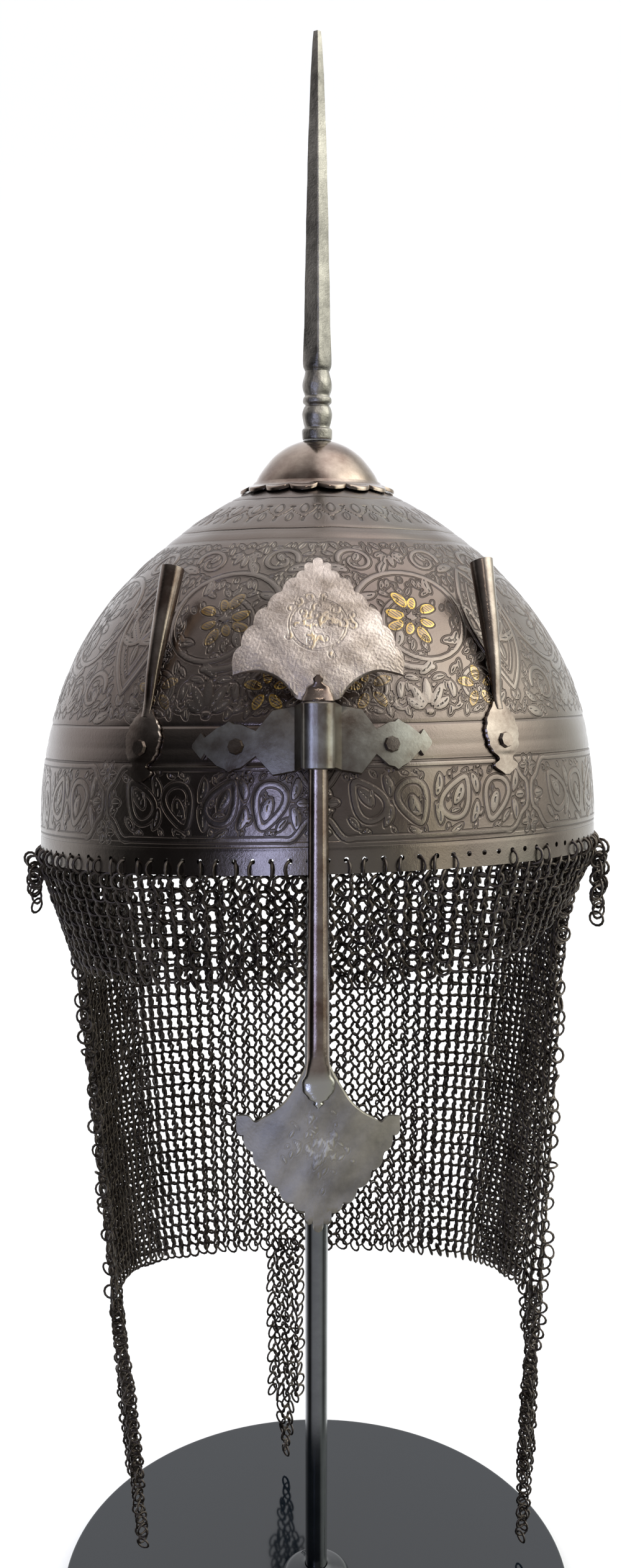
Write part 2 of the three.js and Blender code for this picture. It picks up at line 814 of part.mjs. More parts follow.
function curtain() {
  const shares = [0, 0.05, 0.12, 0.22, 0.4, 0.6, 0.8, 1];
  const columns = 41;
  const body = sheet(columns, shares.length, (i, j, side) => {
    const turn = frontEdge + (curtainSpan * i) / (columns - 1);
    return offCurtain(turn, shares[j], (side - 0.5) * mailThickness).toArray();
  });
  const halfPoint = (pointWidth * 0.53) / hemHalfWidth;
  return joined(
    body,
    mailPoint(frontEdge + halfPoint),
    mailPoint(radians(backPointTurn)),
    mailPoint(2 * Math.PI - frontEdge - halfPoint, leftPointDrift),
  );
}

function fringe() {
  const columns = 25;
  const rows = 4;
  const edge = frontEdge - (seatGap + mailThickness) / bowlRadius;
  const surface = (turn, share) => {
    const place = brimPoint(turn);
    const pull = share * (fringePull + fringePinch * Math.sin(turn) ** 2);
    place.z -= share * fringeDrop * (1 - fringeTorn * Math.max(0, Math.sin(turn)) ** 2);
    place.x -= pull * Math.sin(turn);
    place.y += pull * Math.cos(turn);
    return place;
  };
  return sheet(columns, rows, (i, j, side) => {
    const turn = -edge + (2 * edge * i) / (columns - 1);
    const share = j / (rows - 1);
    return offCurtain(turn, share, (side - 0.5) * mailThickness, surface).toArray();
  });
}

// Stand

// Height at which the pole's axis meets the inside of the leaning bowl.
function poleReach() {
  const inward = helmetFrame.clone().invert();
  let [low, high] = [brimLift, brimLift + bowlHeight];
  for (let k = 0; k < 40; k++) {
    const middle = (low + high) / 2;
    const { y, z } = new THREE.Vector3(0, 0, middle).applyMatrix4(inward);
    const inside = Math.abs(y) < domeRadius(z, innerRadius, innerHeight);
    if (inside) low = middle;
    else high = middle;
  }
  return low;
}
const poleTop = poleReach() - padHeight * 0.6;
const poleFoot = baseThickness + seatGap;

function base() {
  const bevel = 0.13 * baseThickness;
  return turned(
    [
      [0, 0],
      [baseRadius - bevel, 0],
      [baseRadius, bevel],
      [baseRadius, baseThickness - bevel],
      [baseRadius - bevel, baseThickness],
      [0, baseThickness],
    ],
    64,
  );
}

function pole() {
  return turned([[0, poleFoot], [poleRadius, poleFoot], [poleRadius, poleTop], [0, poleTop]], 20);
}

// A low turned collar round the pole's foot.
function collar() {
  const bore = poleRadius + seatGap;
  const rim = collarRadius;
  return turned(
    [
      [bore, poleFoot],
      [0.93 * rim, poleFoot],
      [rim, poleFoot + 0.15 * collarHeight],
      [0.97 * rim, poleFoot + 0.5 * collarHeight],
      [0.84 * rim, poleFoot + 0.75 * collarHeight],
      [0.62 * rim, poleFoot + 0.86 * collarHeight],
      [0.44 * rim, poleFoot + 0.92 * collarHeight],
      [bore, poleFoot + collarHeight],
      [bore, poleFoot],
    ],
    32,
  );
}

// The plug on top of the pole, shaped to the inside of the crown that rests on it.
function pad() {
  const blank = turned(
    [
      [0, poleTop + seatGap],
      [0.62 * padRadius, poleTop + seatGap],
      [padRadius, poleTop + 0.3 * padHeight],
      [padRadius, poleTop + 2 * padHeight],
      [0, poleTop + 2 * padHeight],
    ],
    20,
  );
  const shares = [0.5, 0.65, 0.76, 0.85, 0.92, 0.97, 1];
  const foot = shares[0] * innerHeight - 2 * seatGap;
  const inside = turned(
    [
      [0, foot],
      ...shares.map((share) => {
        const height = share * innerHeight;
        const radius = domeRadius(height, innerRadius, innerHeight);
        return [Math.max(0, radius - 2 * seatGap), height - 2 * seatGap];
      }),
    ],
    bowlFacets,
  ).applyMatrix4(helmetFrame);
  return geometryOf(manifold(blank).intersect(manifold(inside)));
}

// Assembly

function add(group, name, geometry, material) {
  const mesh = new THREE.Mesh(geometry, material);
  mesh.name = name;
  group.add(mesh);
}

const sleeveTop = bracketRise + bracketHeight / 2 + seatGap;
const lowerNeck = bracketRise - bracketHeight / 2 - nasalDrop;

const helmet = new THREE.Group();
helmet.applyMatrix4(helmetFrame);
add(helmet, "bowl", bowl(), russetSteel);
add(helmet, "boss", boss(), russetSteel);
add(helmet, "spike", spike(), russetSteel);
add(helmet, "plume_tube_left", plume("left"), russetSteel);
add(helmet, "plume_tube_right", plume("right"), russetSteel);
add(helmet, "nasal_bracket", bracket(), russetSteel);
for (const [name, seat] of Object.entries(rivetSeats))
  add(helmet, name, rivet(seat), russetSteel);
add(helmet, "nasal_bar", nasalBar(), russetSteel);
const upper = palmette(upperPalmette, sleeveTop, 1, upperLeanFoot, upperLeanTip);
add(helmet, "upper_palmette", upper, polishedSteel);
add(helmet, "lower_palmette", palmette(lowerPalmette, lowerNeck, -1, 0, 0), polishedSteel);

const part = new THREE.Group();
part.add(helmet);
add(part, "mail_curtain", curtain(), mailWire);
add(part, "mail_fringe", fringe(), mailWire);
add(part, "stand_base", base(), blackLacquer);
add(part, "stand_collar", collar(), blackLacquer);
add(part, "stand_pole", pole(), blackLacquer);
add(part, "stand_pad", pad(), blackLacquer);

export default part;
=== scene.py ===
import json
import math
import random

import bpy
import numpy as np
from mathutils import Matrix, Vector

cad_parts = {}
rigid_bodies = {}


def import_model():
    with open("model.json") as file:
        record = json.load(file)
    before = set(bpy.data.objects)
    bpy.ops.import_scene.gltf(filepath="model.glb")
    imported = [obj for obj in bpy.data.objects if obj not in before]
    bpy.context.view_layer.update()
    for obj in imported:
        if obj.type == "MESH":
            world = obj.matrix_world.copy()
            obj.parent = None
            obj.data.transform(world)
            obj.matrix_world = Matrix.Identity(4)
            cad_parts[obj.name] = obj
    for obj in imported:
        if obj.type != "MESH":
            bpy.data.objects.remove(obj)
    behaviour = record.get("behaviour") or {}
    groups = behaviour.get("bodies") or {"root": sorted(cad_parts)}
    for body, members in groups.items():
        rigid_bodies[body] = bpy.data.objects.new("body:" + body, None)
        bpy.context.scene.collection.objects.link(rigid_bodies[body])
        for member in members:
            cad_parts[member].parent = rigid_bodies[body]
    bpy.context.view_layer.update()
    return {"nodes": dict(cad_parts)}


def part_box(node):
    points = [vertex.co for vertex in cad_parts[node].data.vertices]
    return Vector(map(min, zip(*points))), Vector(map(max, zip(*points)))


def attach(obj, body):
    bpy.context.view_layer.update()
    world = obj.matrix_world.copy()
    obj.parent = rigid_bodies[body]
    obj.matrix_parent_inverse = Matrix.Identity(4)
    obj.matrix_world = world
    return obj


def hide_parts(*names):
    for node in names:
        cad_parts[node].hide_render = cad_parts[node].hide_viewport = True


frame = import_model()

print("kulah khud: frame loaded")

# Lengths here are millimetres in the helmet's own frame (brim centre at 0, +Z through the
# spike, -Y the front) or in the row frame, and are turned to metres when a mesh is made.
helmetSeat = {"lean": 19.0, "forward": 19.0, "lift": 372.0}
dome = {"radius": 103.2, "height": 143.0, "wall": 1.8, "fullness": 2.76, "point": 0.808,
        "brimTilt": 1.5, "holes": 104, "holeRise": 4.6, "holeRadius": 0.95}


# shared shapes

def toRow(points):
    lean = math.radians(helmetSeat["lean"])
    points = np.asarray(points, float)
    x, y, z = points[..., 0], points[..., 1], points[..., 2]
    return np.stack([
        x,
        y * math.cos(lean) + z * math.sin(lean) - helmetSeat["forward"],
        z * math.cos(lean) - y * math.sin(lean) + helmetSeat["lift"],
    ], axis=-1)


def domeRadius(height, radius=dome["radius"], crown=dome["height"]):
    share = np.clip(np.asarray(height, float) / crown, 0, 1)
    return radius * (1 - share ** dome["fullness"]) ** dome["point"]


def domeSlope(height):
    return np.arctan(domeRadius(height - 0.5) - domeRadius(height + 0.5))


def tiltLift(x, height):
    return x * math.tan(math.radians(dome["brimTilt"])) * (1 - height / dome["height"])


def onBowl(across, height, off):
    slope, angle = domeSlope(height), across / domeRadius(height)
    radius = domeRadius(height) + off * np.cos(slope)
    return np.stack(np.broadcast_arrays(
        radius * np.sin(angle), -radius * np.cos(angle), height + off * np.sin(slope)), axis=-1)


def turnedTo(points, turn, height):
    angle = math.radians(turn)
    lift = tiltLift(domeRadius(height) * math.sin(angle), height)
    x, y, z = points[..., 0], points[..., 1], points[..., 2]
    return np.stack([x * math.cos(angle) - y * math.sin(angle),
                     x * math.sin(angle) + y * math.cos(angle), z + lift], axis=-1)


def eased(low, high, value):
    share = np.clip((value - low) / (high - low), 0, 1)
    return share * share * (3 - 2 * share)


def drawnThrough(points, count):  # places spaced evenly along a smooth curve
    points = np.asarray(points, float)
    padded = np.vstack([2 * points[0] - points[1], points, 2 * points[-1] - points[-2]])
    places = np.linspace(0, len(points) - 1, count)
    k = np.minimum(places.astype(int), len(points) - 2)
    t = (places - k)[:, None]
    a, b, c, d = padded[k], padded[k + 1], padded[k + 2], padded[k + 3]
    return 0.5 * (2 * b + (c - a) * t + (2 * a - 5 * b + 4 * c - d) * t ** 2
                  + (3 * b - a - 3 * c + d) * t ** 3)


def meshPiece(name, points, faces, crease, layers=None):  # a closed shell, faces outwards
    used = np.unique(np.concatenate([np.ravel(f) for f in faces]))
    renumber = np.zeros(len(points), int)
    renumber[used] = np.arange(len(used))
    points = np.asarray(points, float)[used] * 0.001
    faces = [tuple(renumber[list(f)].tolist()) for f in faces]
    corners = np.array([(f[0], f[k], f[k + 1]) for f in faces for k in range(1, len(f) - 1)])
    a, b, c = (points[corners[:, k]] - points.mean(0) for k in range(3))
    if np.sum(a * np.cross(b, c)) < 0:
        faces = [f[::-1] for f in faces]
    mesh = bpy.data.meshes.new(name)
    mesh.from_pydata(points.tolist(), [], faces)
    mesh.shade_smooth()
    mesh.set_sharp_from_angle(angle=math.radians(crease))
    for layer, values in (layers or {}).items():
        made = mesh.attributes.new(layer, "FLOAT", "POINT")
        made.data.foreach_set("value", np.asarray(values, np.float32)[used])
    piece = bpy.data.objects.new(name, mesh)
    bpy.context.scene.collection.objects.link(piece)
    return piece


def plateFaces(columns, rows):  # a sheet with two sides: point (side, column, row)
    at = lambda side, i, j: (side * columns + i) * rows + j
    faces, endRow, endColumn = [], rows - 1, columns - 1
    for i in range(columns - 1):
        for j in range(rows - 1):
            faces.append((at(1, i, j), at(1, i + 1, j), at(1, i + 1, j + 1), at(1, i, j + 1)))
            faces.append((at(0, i, j), at(0, i, j + 1), at(0, i + 1, j + 1), at(0, i + 1, j)))
        faces.append((at(0, i, 0), at(0, i + 1, 0), at(1, i + 1, 0), at(1, i, 0)))
        faces.append((at(1, i, endRow), at(1, i + 1, endRow), at(0, i + 1, endRow), at(0, i, endRow)))
    for j in range(rows - 1):
        faces.append((at(1, 0, j), at(1, 0, j + 1), at(0, 0, j + 1), at(0, 0, j)))
        faces.append((at(0, endColumn, j), at(0, endColumn, j + 1), at(1, endColumn, j + 1),
                      at(1, endColumn, j)))
    return faces


def joinRings(counts):  # faces between rings; a count may stay, halve, double or be 1
    faces = []
    starts = np.concatenate([[0], np.cumsum(counts)])
    for k in range(len(counts) - 1):
        a, b, n, m = int(starts[k]), int(starts[k + 1]), counts[k], counts[k + 1]
        for j in range(max(n, m) if min(n, m) == 1 or n == m else min(n, m)):
            if n == m:
                i = (j + 1) % n
                faces.append((a + j, a + i, b + i, b + j))
            elif m == 1:
                faces.append((a + j, a + (j + 1) % n, b))
            elif n == 1:
                faces.append((a, b + (j + 1) % m, b + j))
            elif n == 2 * m:
                i, e = (j + 1) % m, (2 * j + 2) % n
                faces += [(a + 2 * j, a + 2 * j + 1, b + j), (a + 2 * j + 1, b + i, b + j),
                          (a + 2 * j + 1, a + e, b + i)]
            else:
                i, e = (j + 1) % n, (2 * j + 2) % m
                faces += [(a + j, b + 2 * j + 1, b + 2 * j), (a + j, a + i, b + 2 * j + 1),
                          (a + i, b + e, b + 2 * j + 1)]
    return faces


def tube(name, rings, crease):  # equal rings joined and closed at both ends
    rings = [np.asarray(ring, float) for ring in rings]
    rings = [rings[0].mean(0)[None], *rings, rings[-1].mean(0)[None]]
    faces = joinRings([len(ring) for ring in rings])
    return meshPiece(name, np.vstack(rings), faces, crease)


def spun(profile, sides, shape=None):  # rings of a profile of [radius, height] turned about Z
    turn = np.arange(sides) * 2 * math.pi / sides
    rings = []
    for radius, height in profile:
        out, up = shape(turn, radius, height) if shape else (radius, height)
        rings.append(np.stack([out * np.sin(turn), -out * np.cos(turn), up + 0 * turn], 1))
    return rings


# bowl: raised and drilled steel, with its ornament chased in low relief

skin = {"columns": 728, "step": 0.9, "bandTop": 48.5, "halveAbove": 116.0, "bareCap": 14.0}
ornament = {
    "cartouches": 8, "fieldLow": 12.6, "fieldHigh": 34.6, "outline": 0.75,
    "vineHalf": 1.1, "roundelRadius": 20.0, "roundelRise": 85.0, "ogiveHalf": 10.5, "ogiveTall": 50.0,
    "petals": 28, "petalRise": 123.0, "relief": 0.36, "lineDepth": 0.25, "seed": 11,
    "gilded": (0, 7, 2, 5),  # the sectors whose sprays are gold
    "borderLines": (9.4, 10.6, 36.8, 41.8, 48.0, 49.1, 112.6, 113.6, 116.4, 117.4, 129.4),
}
rng = random.Random(ornament["seed"])

angles = np.arange(skin["columns"]) * 2 * math.pi / skin["columns"]
fineHeights = np.linspace(0, dome["height"], 6000)
fineRadii = domeRadius(fineHeights)
fineArcs = np.concatenate([[0], np.cumsum(np.hypot(np.diff(fineHeights), np.diff(fineRadii)))])
arcOf = lambda height: np.interp(height, fineHeights, fineArcs)

rimHeights = [0, 0.35, 0.95, 1.65, 2.4, 3.25, 4.15, 5.05, 5.95, 6.8, 7.6, 8.3]
perHole = skin["columns"] // dome["holes"]
holeRow, holeColumn = 5, 2  # the first of the four rows and columns that stand round a hole
arcs = np.concatenate([
    arcOf(np.array(rimHeights)),
    np.arange(arcOf(9.1), fineArcs[-1] - skin["bareCap"], skin["step"]),
])
heights = np.interp(arcs, fineArcs, fineHeights)
radii = domeRadius(heights)
slopes = domeSlope(heights)
shape = (len(arcs), skin["columns"])
strap, leaf, vein, gold, groove = (np.full(shape, 5.0) for _ in range(5))


def strokeGap(x, y, path, half):  # distance to the edge of a stroke, negative inside it
    best = np.full(np.broadcast_shapes(x.shape, y.shape), 9.0)
    half = np.broadcast_to(np.asarray(half, float), len(path))
    for (ax, ay), (bx, by), wa, wb in zip(path[:-1], path[1:], half[:-1], half[1:]):
        dx, dy = bx - ax, by - ay
        t = np.clip(((x - ax) * dx + (y - ay) * dy) / (dx * dx + dy * dy + 1e-9), 0, 1)
        best = np.minimum(best, np.hypot(x - ax - t * dx, y - ay - t * dy) - wa - t * (wb - wa))
    return best


def draw(layer, turn, arc, path, half):
    path = np.asarray(path, float)
    half = np.broadcast_to(np.asarray(half, float), len(path))
    margin = 3.0 + half.max()
    low, high = arc + path[:, 1].min() - margin, arc + path[:, 1].max() + margin
    rows = np.where((arcs > low) & (arcs < high))[0]
    if not rows.size:
        return
    gap = (angles - turn + math.pi) % (2 * math.pi) - math.pi
    reach = (np.abs(path[:, 0]).max() + margin) / radii[rows].min()
    columns = np.where(np.abs(gap) < reach)[0]
    x = gap[columns][None, :] * radii[rows][:, None]
    y = (arcs[rows] - arc)[:, None]
    window = np.ix_(rows, columns)
    layer[window] = np.minimum(layer[window], strokeGap(x, y, path, half))


def drawLeaf(turn, arc, x, y, heading, length, half, curl=0.0, layer=None):
    steps = np.linspace(0, 1, 8)
    bend = math.radians(heading) + curl * (steps - 0.5)
    path = np.cumsum(np.stack([np.cos(bend), np.sin(bend)], 1) * length / 7, axis=0)
    path += np.array([x, y]) - path[0]
    draw(leaf if layer is None else layer, turn, arc, path,
         half * np.sin(math.pi * np.clip(steps * 0.94 + 0.03, 0, 1)) ** 0.75)
    if layer is None:
        draw(vein, turn, arc, path[1:-1], 0)


def wound(startRadius, endRadius, startAngle, sweep, hold=0.55, count=46):
    t = np.linspace(0, 1, count)
    radius = startRadius + (endRadius - startRadius) * eased(hold, 1.0, t)
    angle = np.radians(startAngle + sweep * t)
    return np.stack([radius * np.cos(angle), radius * np.sin(angle)], 1)


def drawRoundel(turn, arc, size, hand, gilt):
    vine = wound(size, 0.42 * size, -100 if hand > 0 else -80, 520 * hand)
    draw(strap, turn, arc, vine, np.linspace(ornament["vineHalf"], 0.65, len(vine)))
    for k in range(3, 40, 4):
        point, ahead = vine[k], vine[k + 1] - vine[k]
        heading = math.degrees(math.atan2(ahead[1], ahead[0]))
        outward = -1 if (k // 4) % 2 else 1
        drawLeaf(turn, arc, *point, heading + outward * hand * 52, 7.5, 1.6, -outward * hand * 0.8)
    drawSpray(turn, arc, hand, gilt)


def drawSpray(turn, arc, hand, gilt):  # a loose cluster of broad leaves on short stalks
    spray = [(14, 3.0, 6.0, 1.9, 0.9), (66, 4.4, 6.6, 2.1, -0.8), (106, 3.2, 5.0, 1.5, 0.6),
             (158, 4.6, 5.8, 1.9, 1.1),
             (205, 3.4, 5.0, 1.6, -0.9), (248, 4.8, 6.4, 2.0, -0.7), (292, 3.0, 4.6, 1.5, 0.6),
             (334, 4.6, 5.8, 1.8, 1.0)]
    for heading, base, length, half, curl in spray:
        a = math.radians(heading if hand > 0 else 180 - heading)
        x, y = base * math.cos(a), base * math.sin(a)
        draw(vein, turn, arc, [(0, 0), (x, y)], 0)
        draw(strap, turn, arc, [(0, 0), (x, y)], 0.3)
        drawLeaf(turn, arc, x, y, math.degrees(a), length, half, curl * hand, gold if gilt else None)


def drawOgive(turn, arc, half, tall):
    t = np.linspace(0, 1, 22)
    swell = np.sin(math.pi * t) ** 0.9
    for side in (-1, 1):
        for share, width in ((1, 0.8), (0.62, 0.45)):
            path = np.stack([side * half * share * swell, (t - 0.5) * tall * (0.35 + 0.65 * share)], 1)
            draw(strap, turn, arc, path, width)
    for heading in (90, 52, 128, 16, 164):
        lean = (90 - heading) * 0.012
        drawLeaf(turn, arc, 0, -0.12 * tall, heading, 0.25 * tall, 1.6, lean)
    drawLeaf(turn, arc, 0, -0.14 * tall, -90, 0.14 * tall, 1.3)


def free(turn, arc):  # how far the nearest stroke is from a place on the bowl
    row = int(np.clip(np.searchsorted(arcs, arc), 0, len(arcs) - 1))
    column = int(round((turn % (2 * math.pi)) / angles[1])) % len(angles)
    return min(strap[row, column], leaf[row, column], gold[row, column])


def fillWithLeaves(low, high, tries, longest):  # sprays of leaves in whatever is still bare
    for _ in range(tries):
        aside, arc = rng.uniform(0, sector / 2), rng.uniform(arcOf(low), arcOf(high))
        radius = float(np.interp(arc, fineArcs, fineRadii))
        heading = 62 + rng.uniform(-50, 50) + 180 * (rng.random() < 0.3)
        for length in (longest, 0.75 * longest, 0.5 * longest):
            reach = [(t * length * math.cos(math.radians(heading)) / radius,
                      t * length * math.sin(math.radians(heading))) for t in (0, 0.35, 0.7, 1)]
            inside = arcOf(low) < arc + reach[-1][1] < arcOf(high)
            if inside and min(free(1.5 * sector + aside + a, arc + b) for a, b in reach) > 0.19 * length:
                curl = rng.uniform(-0.8, 0.8)
                for k in range(ornament["cartouches"]):
                    for side in (-1, 1):
                        drawLeaf((k + 0.5) * sector + side * aside, arc, 0, 0,
                                 heading if side > 0 else 180 - heading, length, 0.21 * length, side * curl)
                break


print("kulah khud: drawing the bowl's ornament")
sector = 2 * math.pi / ornament["cartouches"]
middleArc = arcOf((ornament["fieldLow"] + ornament["fieldHigh"]) / 2)
fieldHalf = (ornament["fieldHigh"] - ornament["fieldLow"]) / 2
roundelArc = arcOf(ornament["roundelRise"])
t = np.linspace(0, 2 * math.pi, 30)
pear = np.stack([4.6 * np.sin(t) * (1 + 0.5 * np.cos(t)), -7.4 * np.cos(t)], 1)
for k in range(ornament["cartouches"]):
    turn = (k + 0.5) * sector
    reach = sector * dome["radius"] / 2 - 1.2

    # the cartouche's outline: a long panel with lobed, pointed ends
    t = np.linspace(0, 1, 12)
    end = np.stack([reach - 11 + 11 * np.sin(math.pi / 2 * t) ** 0.8, (fieldHalf + 1) * (1 - t) ** 0.8], 1)
    end[:, 1] *= 1 + 0.14 * np.sin(3 * math.pi * t)
    quarter = np.vstack([[(0, fieldHalf + 1)], end])
    for sx in (-1, 1):
        for sy in (-1, 1):
            draw(strap, turn, middleArc, quarter * (sx, sy), ornament["outline"])

    # its filling: slanting pear-shaped loops, each round a leaf, with leaves between them
    for n in range(4):
        slant = (0.6, 0.35, -0.5, -0.3)[n]
        centre = np.array([16.0 * (n - 1.5), (0.6, -0.8)[n % 2]])
        flip = -1 if n % 2 else 1
        x, y = pear[:, 0] * flip, pear[:, 1] * flip
        loop = np.stack([x * math.cos(slant) - y * math.sin(slant),
                         x * math.sin(slant) + y * math.cos(slant)], 1)
        draw(strap, turn, middleArc, loop + centre, 0.85)
        drawLeaf(turn, middleArc, centre[0] + 2.6 * math.sin(slant) * flip,
                 centre[1] - 2.6 * math.cos(slant) * flip,
                 math.degrees(slant) + 90 * flip, 7.4, 1.9, 0.5)
        for way in (-1, 1):
            drawLeaf(turn, middleArc, centre[0] + 7.9, way * 1.2, 90 * way + 14 * way * flip, 7.6, 1.5,
                     0.6 * way)
    for side in (-1, 1):
        drawLeaf(turn, middleArc, side * 33.4, 0, 90 - 90 * side, 4.0, 1.4)

    # rosettes in the corners between the cartouches
    edge = k * sector
    for y in (-fieldHalf + 1.2, fieldHalf - 1.2):
        for heading in range(0, 360, 60):
            drawLeaf(edge, middleArc + y, 0.8 * math.cos(math.radians(heading)),
                     0.8 * math.sin(math.radians(heading)), heading, 3.4, 1.0)

    # main field: a roundel in each sector, a pointed medallion between, small scrolls beside
    gilt = k in ornament["gilded"]
    drawRoundel(turn, roundelArc, ornament["roundelRadius"], 1 if k % 2 else -1, gilt)
    drawOgive(edge, roundelArc - 3, ornament["ogiveHalf"], ornament["ogiveTall"])
    for heading, length in ((90, 9.5), (58, 8.5), (122, 8.5), (28, 7.0), (152, 7.0)):
        for arc, way in ((roundelArc - 35, 1), (roundelArc + 31, -1)):
            a = math.radians(heading * way)
            drawLeaf(turn, arc, 2.0 * math.cos(a), 2.0 * math.sin(a), heading * way,
                     length * (1 if way > 0 else 0.6),
                     1.7 if way > 0 else 1.2, 0.012 * (90 - heading) * way)
    for side in (-1, 1):
        for up, size in ((-27, 6.6), (26, 5.6)):
            centre = np.array([side * 20.5 * (1 if up < 0 else 0.66), up])
            scroll = wound(size, 0.3 * size, 90 - 90 * side, side * 420, 0.3, 26) + centre
            draw(strap, turn, roundelArc, scroll, np.linspace(0.9, 0.5, 26))
            if gilt and up < 0:
                for heading, length in ((25, 6.6), (100, 5.4), (165, 6.2), (240, 5.6), (310, 6.0)):
                    a = math.radians(heading)
                    drawLeaf(turn, roundelArc, centre[0] + 2.3 * math.cos(a),
                             centre[1] + 2.3 * math.sin(a), heading, length, 1.7, 0.6 * side, gold)
            drawLeaf(turn, roundelArc, centre[0], centre[1], 90 * np.sign(up) + 30 * side, 4.5, 1.3, 0.5)
fillWithLeaves(50.5, 111.5, 900, 8.6)
fillWithLeaves(50.5, 111.5, 900, 5.5)
fillWithLeaves(12.5, 34.5, 260, 5.0)

# a collar of engraved sprigs under the boss
petalArc = arcOf(ornament["petalRise"])
for k in range(ornament["petals"]):
    turn = (k + 0.5) * 2 * math.pi / ornament["petals"]
    for side in (-1, 1):
        sprig = drawnThrough([(0.0, -5.8), (0.9 * side, -1.8), (3.4 * side, 1.0), (4.9 * side, 5.4),
                              (3.3 * side, 5.0)], 14)
        draw(groove, turn, petalArc, sprig, 0)
    drawLeaf(turn, petalArc, 0, 0.4, 90, 5.6, 1.25)
    drawLeaf(turn + math.pi / ornament["petals"], petalArc, 0, -5.0, 90, 4.6, 1.0)

for height in ornament["borderLines"]:
    groove = np.minimum(groove, np.abs(arcs - arcOf(height))[:, None] + 0 * groove)

worn = (0.72 + 0.28 * np.sin(7 * angles + 2)[None, :] * np.sin(heights / 13)[:, None]
        * np.cos(4 * angles[None, :] - heights[:, None] / 29))
raisedStrap = eased(0.6, -0.7, strap) * worn * (0.62 + 0.38 * eased(44, 52, heights))[:, None]
raisedLeaf = eased(0.5, -0.9, leaf) * (1 - 0.35 * eased(0.9, 0.0, vein)) * worn
raisedGold = 0.6 * eased(0.5, -0.5, gold)
relief = ornament["relief"] * np.maximum.reduce([raisedStrap, 0.75 * raisedLeaf, raisedGold])
relief -= ornament["lineDepth"] * eased(0.8, 0.0, groove)
hammered = (0.16 * np.sin(5 * angles + 1.1)[None, :] * np.sin(heights / 17)[:, None]
            + 0.12 * np.sin(9 * angles + 0.4)[None, :] * np.cos(heights / 11 + 1)[:, None]
            + 0.10 * np.sin(14 * angles[None, :] + heights[:, None] / 9))
relief = (relief + hammered * eased(0, 12, heights)[:, None]) * eased(133, 129, heights)[:, None]
layers = {"strap": strap, "leaf": leaf, "vein": vein, "gold": gold, "groove": groove}

print("kulah khud: building the bowl")
innerCrown = dome["height"] - 1.35 * dome["wall"]
innerRadius = dome["radius"] - dome["wall"]


def bowlRing(height, radius, slope, off, count):  # one ring of the skin, in the helmet's frame
    turn = np.arange(count) * 2 * math.pi / count
    out = radius + off * np.cos(slope)
    x = out * np.sin(turn)
    z = height + off * np.sin(slope) + tiltLift(x, height)
    return np.stack([x, -out * np.cos(turn), z], 1)


def innerRing(share, count):
    height = share * innerCrown
    return bowlRing(height, domeRadius(height, innerRadius, innerCrown), 0, 0, count)


def holeRing(points, radius, centreHeight, row, hole):  # the 12 places round a hole, moved to a circle
    n, ring = skin["columns"], []
    for dv, du in ((0, 0), (0, 1), (0, 2), (0, 3), (1, 3), (2, 3), (3, 3), (3, 2), (3, 1), (3, 0), (2, 0),
                   (1, 0)):
        at = (row + dv) * n + perHole * hole + holeColumn + du
        a = math.atan2(dv - 1.5, du - 1.5)
        turn = (perHole * hole + perHole / 2) * 2 * math.pi / n + dome["holeRadius"] * math.cos(a) / radius
        height = centreHeight + dome["holeRadius"] * math.sin(a)
        x = radius * math.sin(turn)
        points[at] = (x, -radius * math.cos(turn), height + tiltLift(x, height))
        ring.append(at)
    return ring


def rimBand():
    n = skin["columns"]
    top = int(np.searchsorted(heights, skin["bandTop"]))
    outer = [bowlRing(heights[i], radii[i], slopes[i], relief[i], n) for i in range(top + 1)]
    inner = [innerRing(h / innerCrown, n)
             for h in [*np.linspace(skin["bandTop"], 8, 14), *rimHeights[8::-1]]]
    points = np.vstack(outer + inner)
    rows = len(outer) + len(inner)
    innerRow = lambda k: rows - 1 - k  # the inner row that faces outer row k of the rim
    faces = []
    skip = set()
    for hole in range(dome["holes"]):
        for du in range(3):
            for dv in range(3):
                skip.add((holeRow + dv) * n + perHole * hole + holeColumn + du)
                skip.add((innerRow(holeRow + dv) - 1) * n + perHole * hole + holeColumn + du)
    for k in range(rows):
        a, b = k * n, ((k + 1) % rows) * n
        for j in range(n):
            i = (j + 1) % n
            if a + j not in skip:
                faces.append((a + j, a + i, b + i, b + j))
    for hole in range(dome["holes"]):
        outside = holeRing(points, dome["radius"], dome["holeRise"], holeRow, hole)
        inside = []
        for at in outside:  # the same place on the inner skin
            row, column = divmod(at, n)
            x, y, z = points[at]
            across = innerRadius / math.hypot(x, y)
            target = innerRow(row) * n + column
            points[target] = (x * across, y * across, z)
            inside.append(target)
        for k in range(12):
            i = (k + 1) % 12
            faces.append((outside[k], inside[k], inside[i], outside[i]))
    blank = np.full(len(inner) * n, 5.0)
    named = {name: np.concatenate([layer[:top + 1].ravel(), blank]) for name, layer in layers.items()}
    return meshPiece("bowlBand", toRow(points), faces, 50, named)


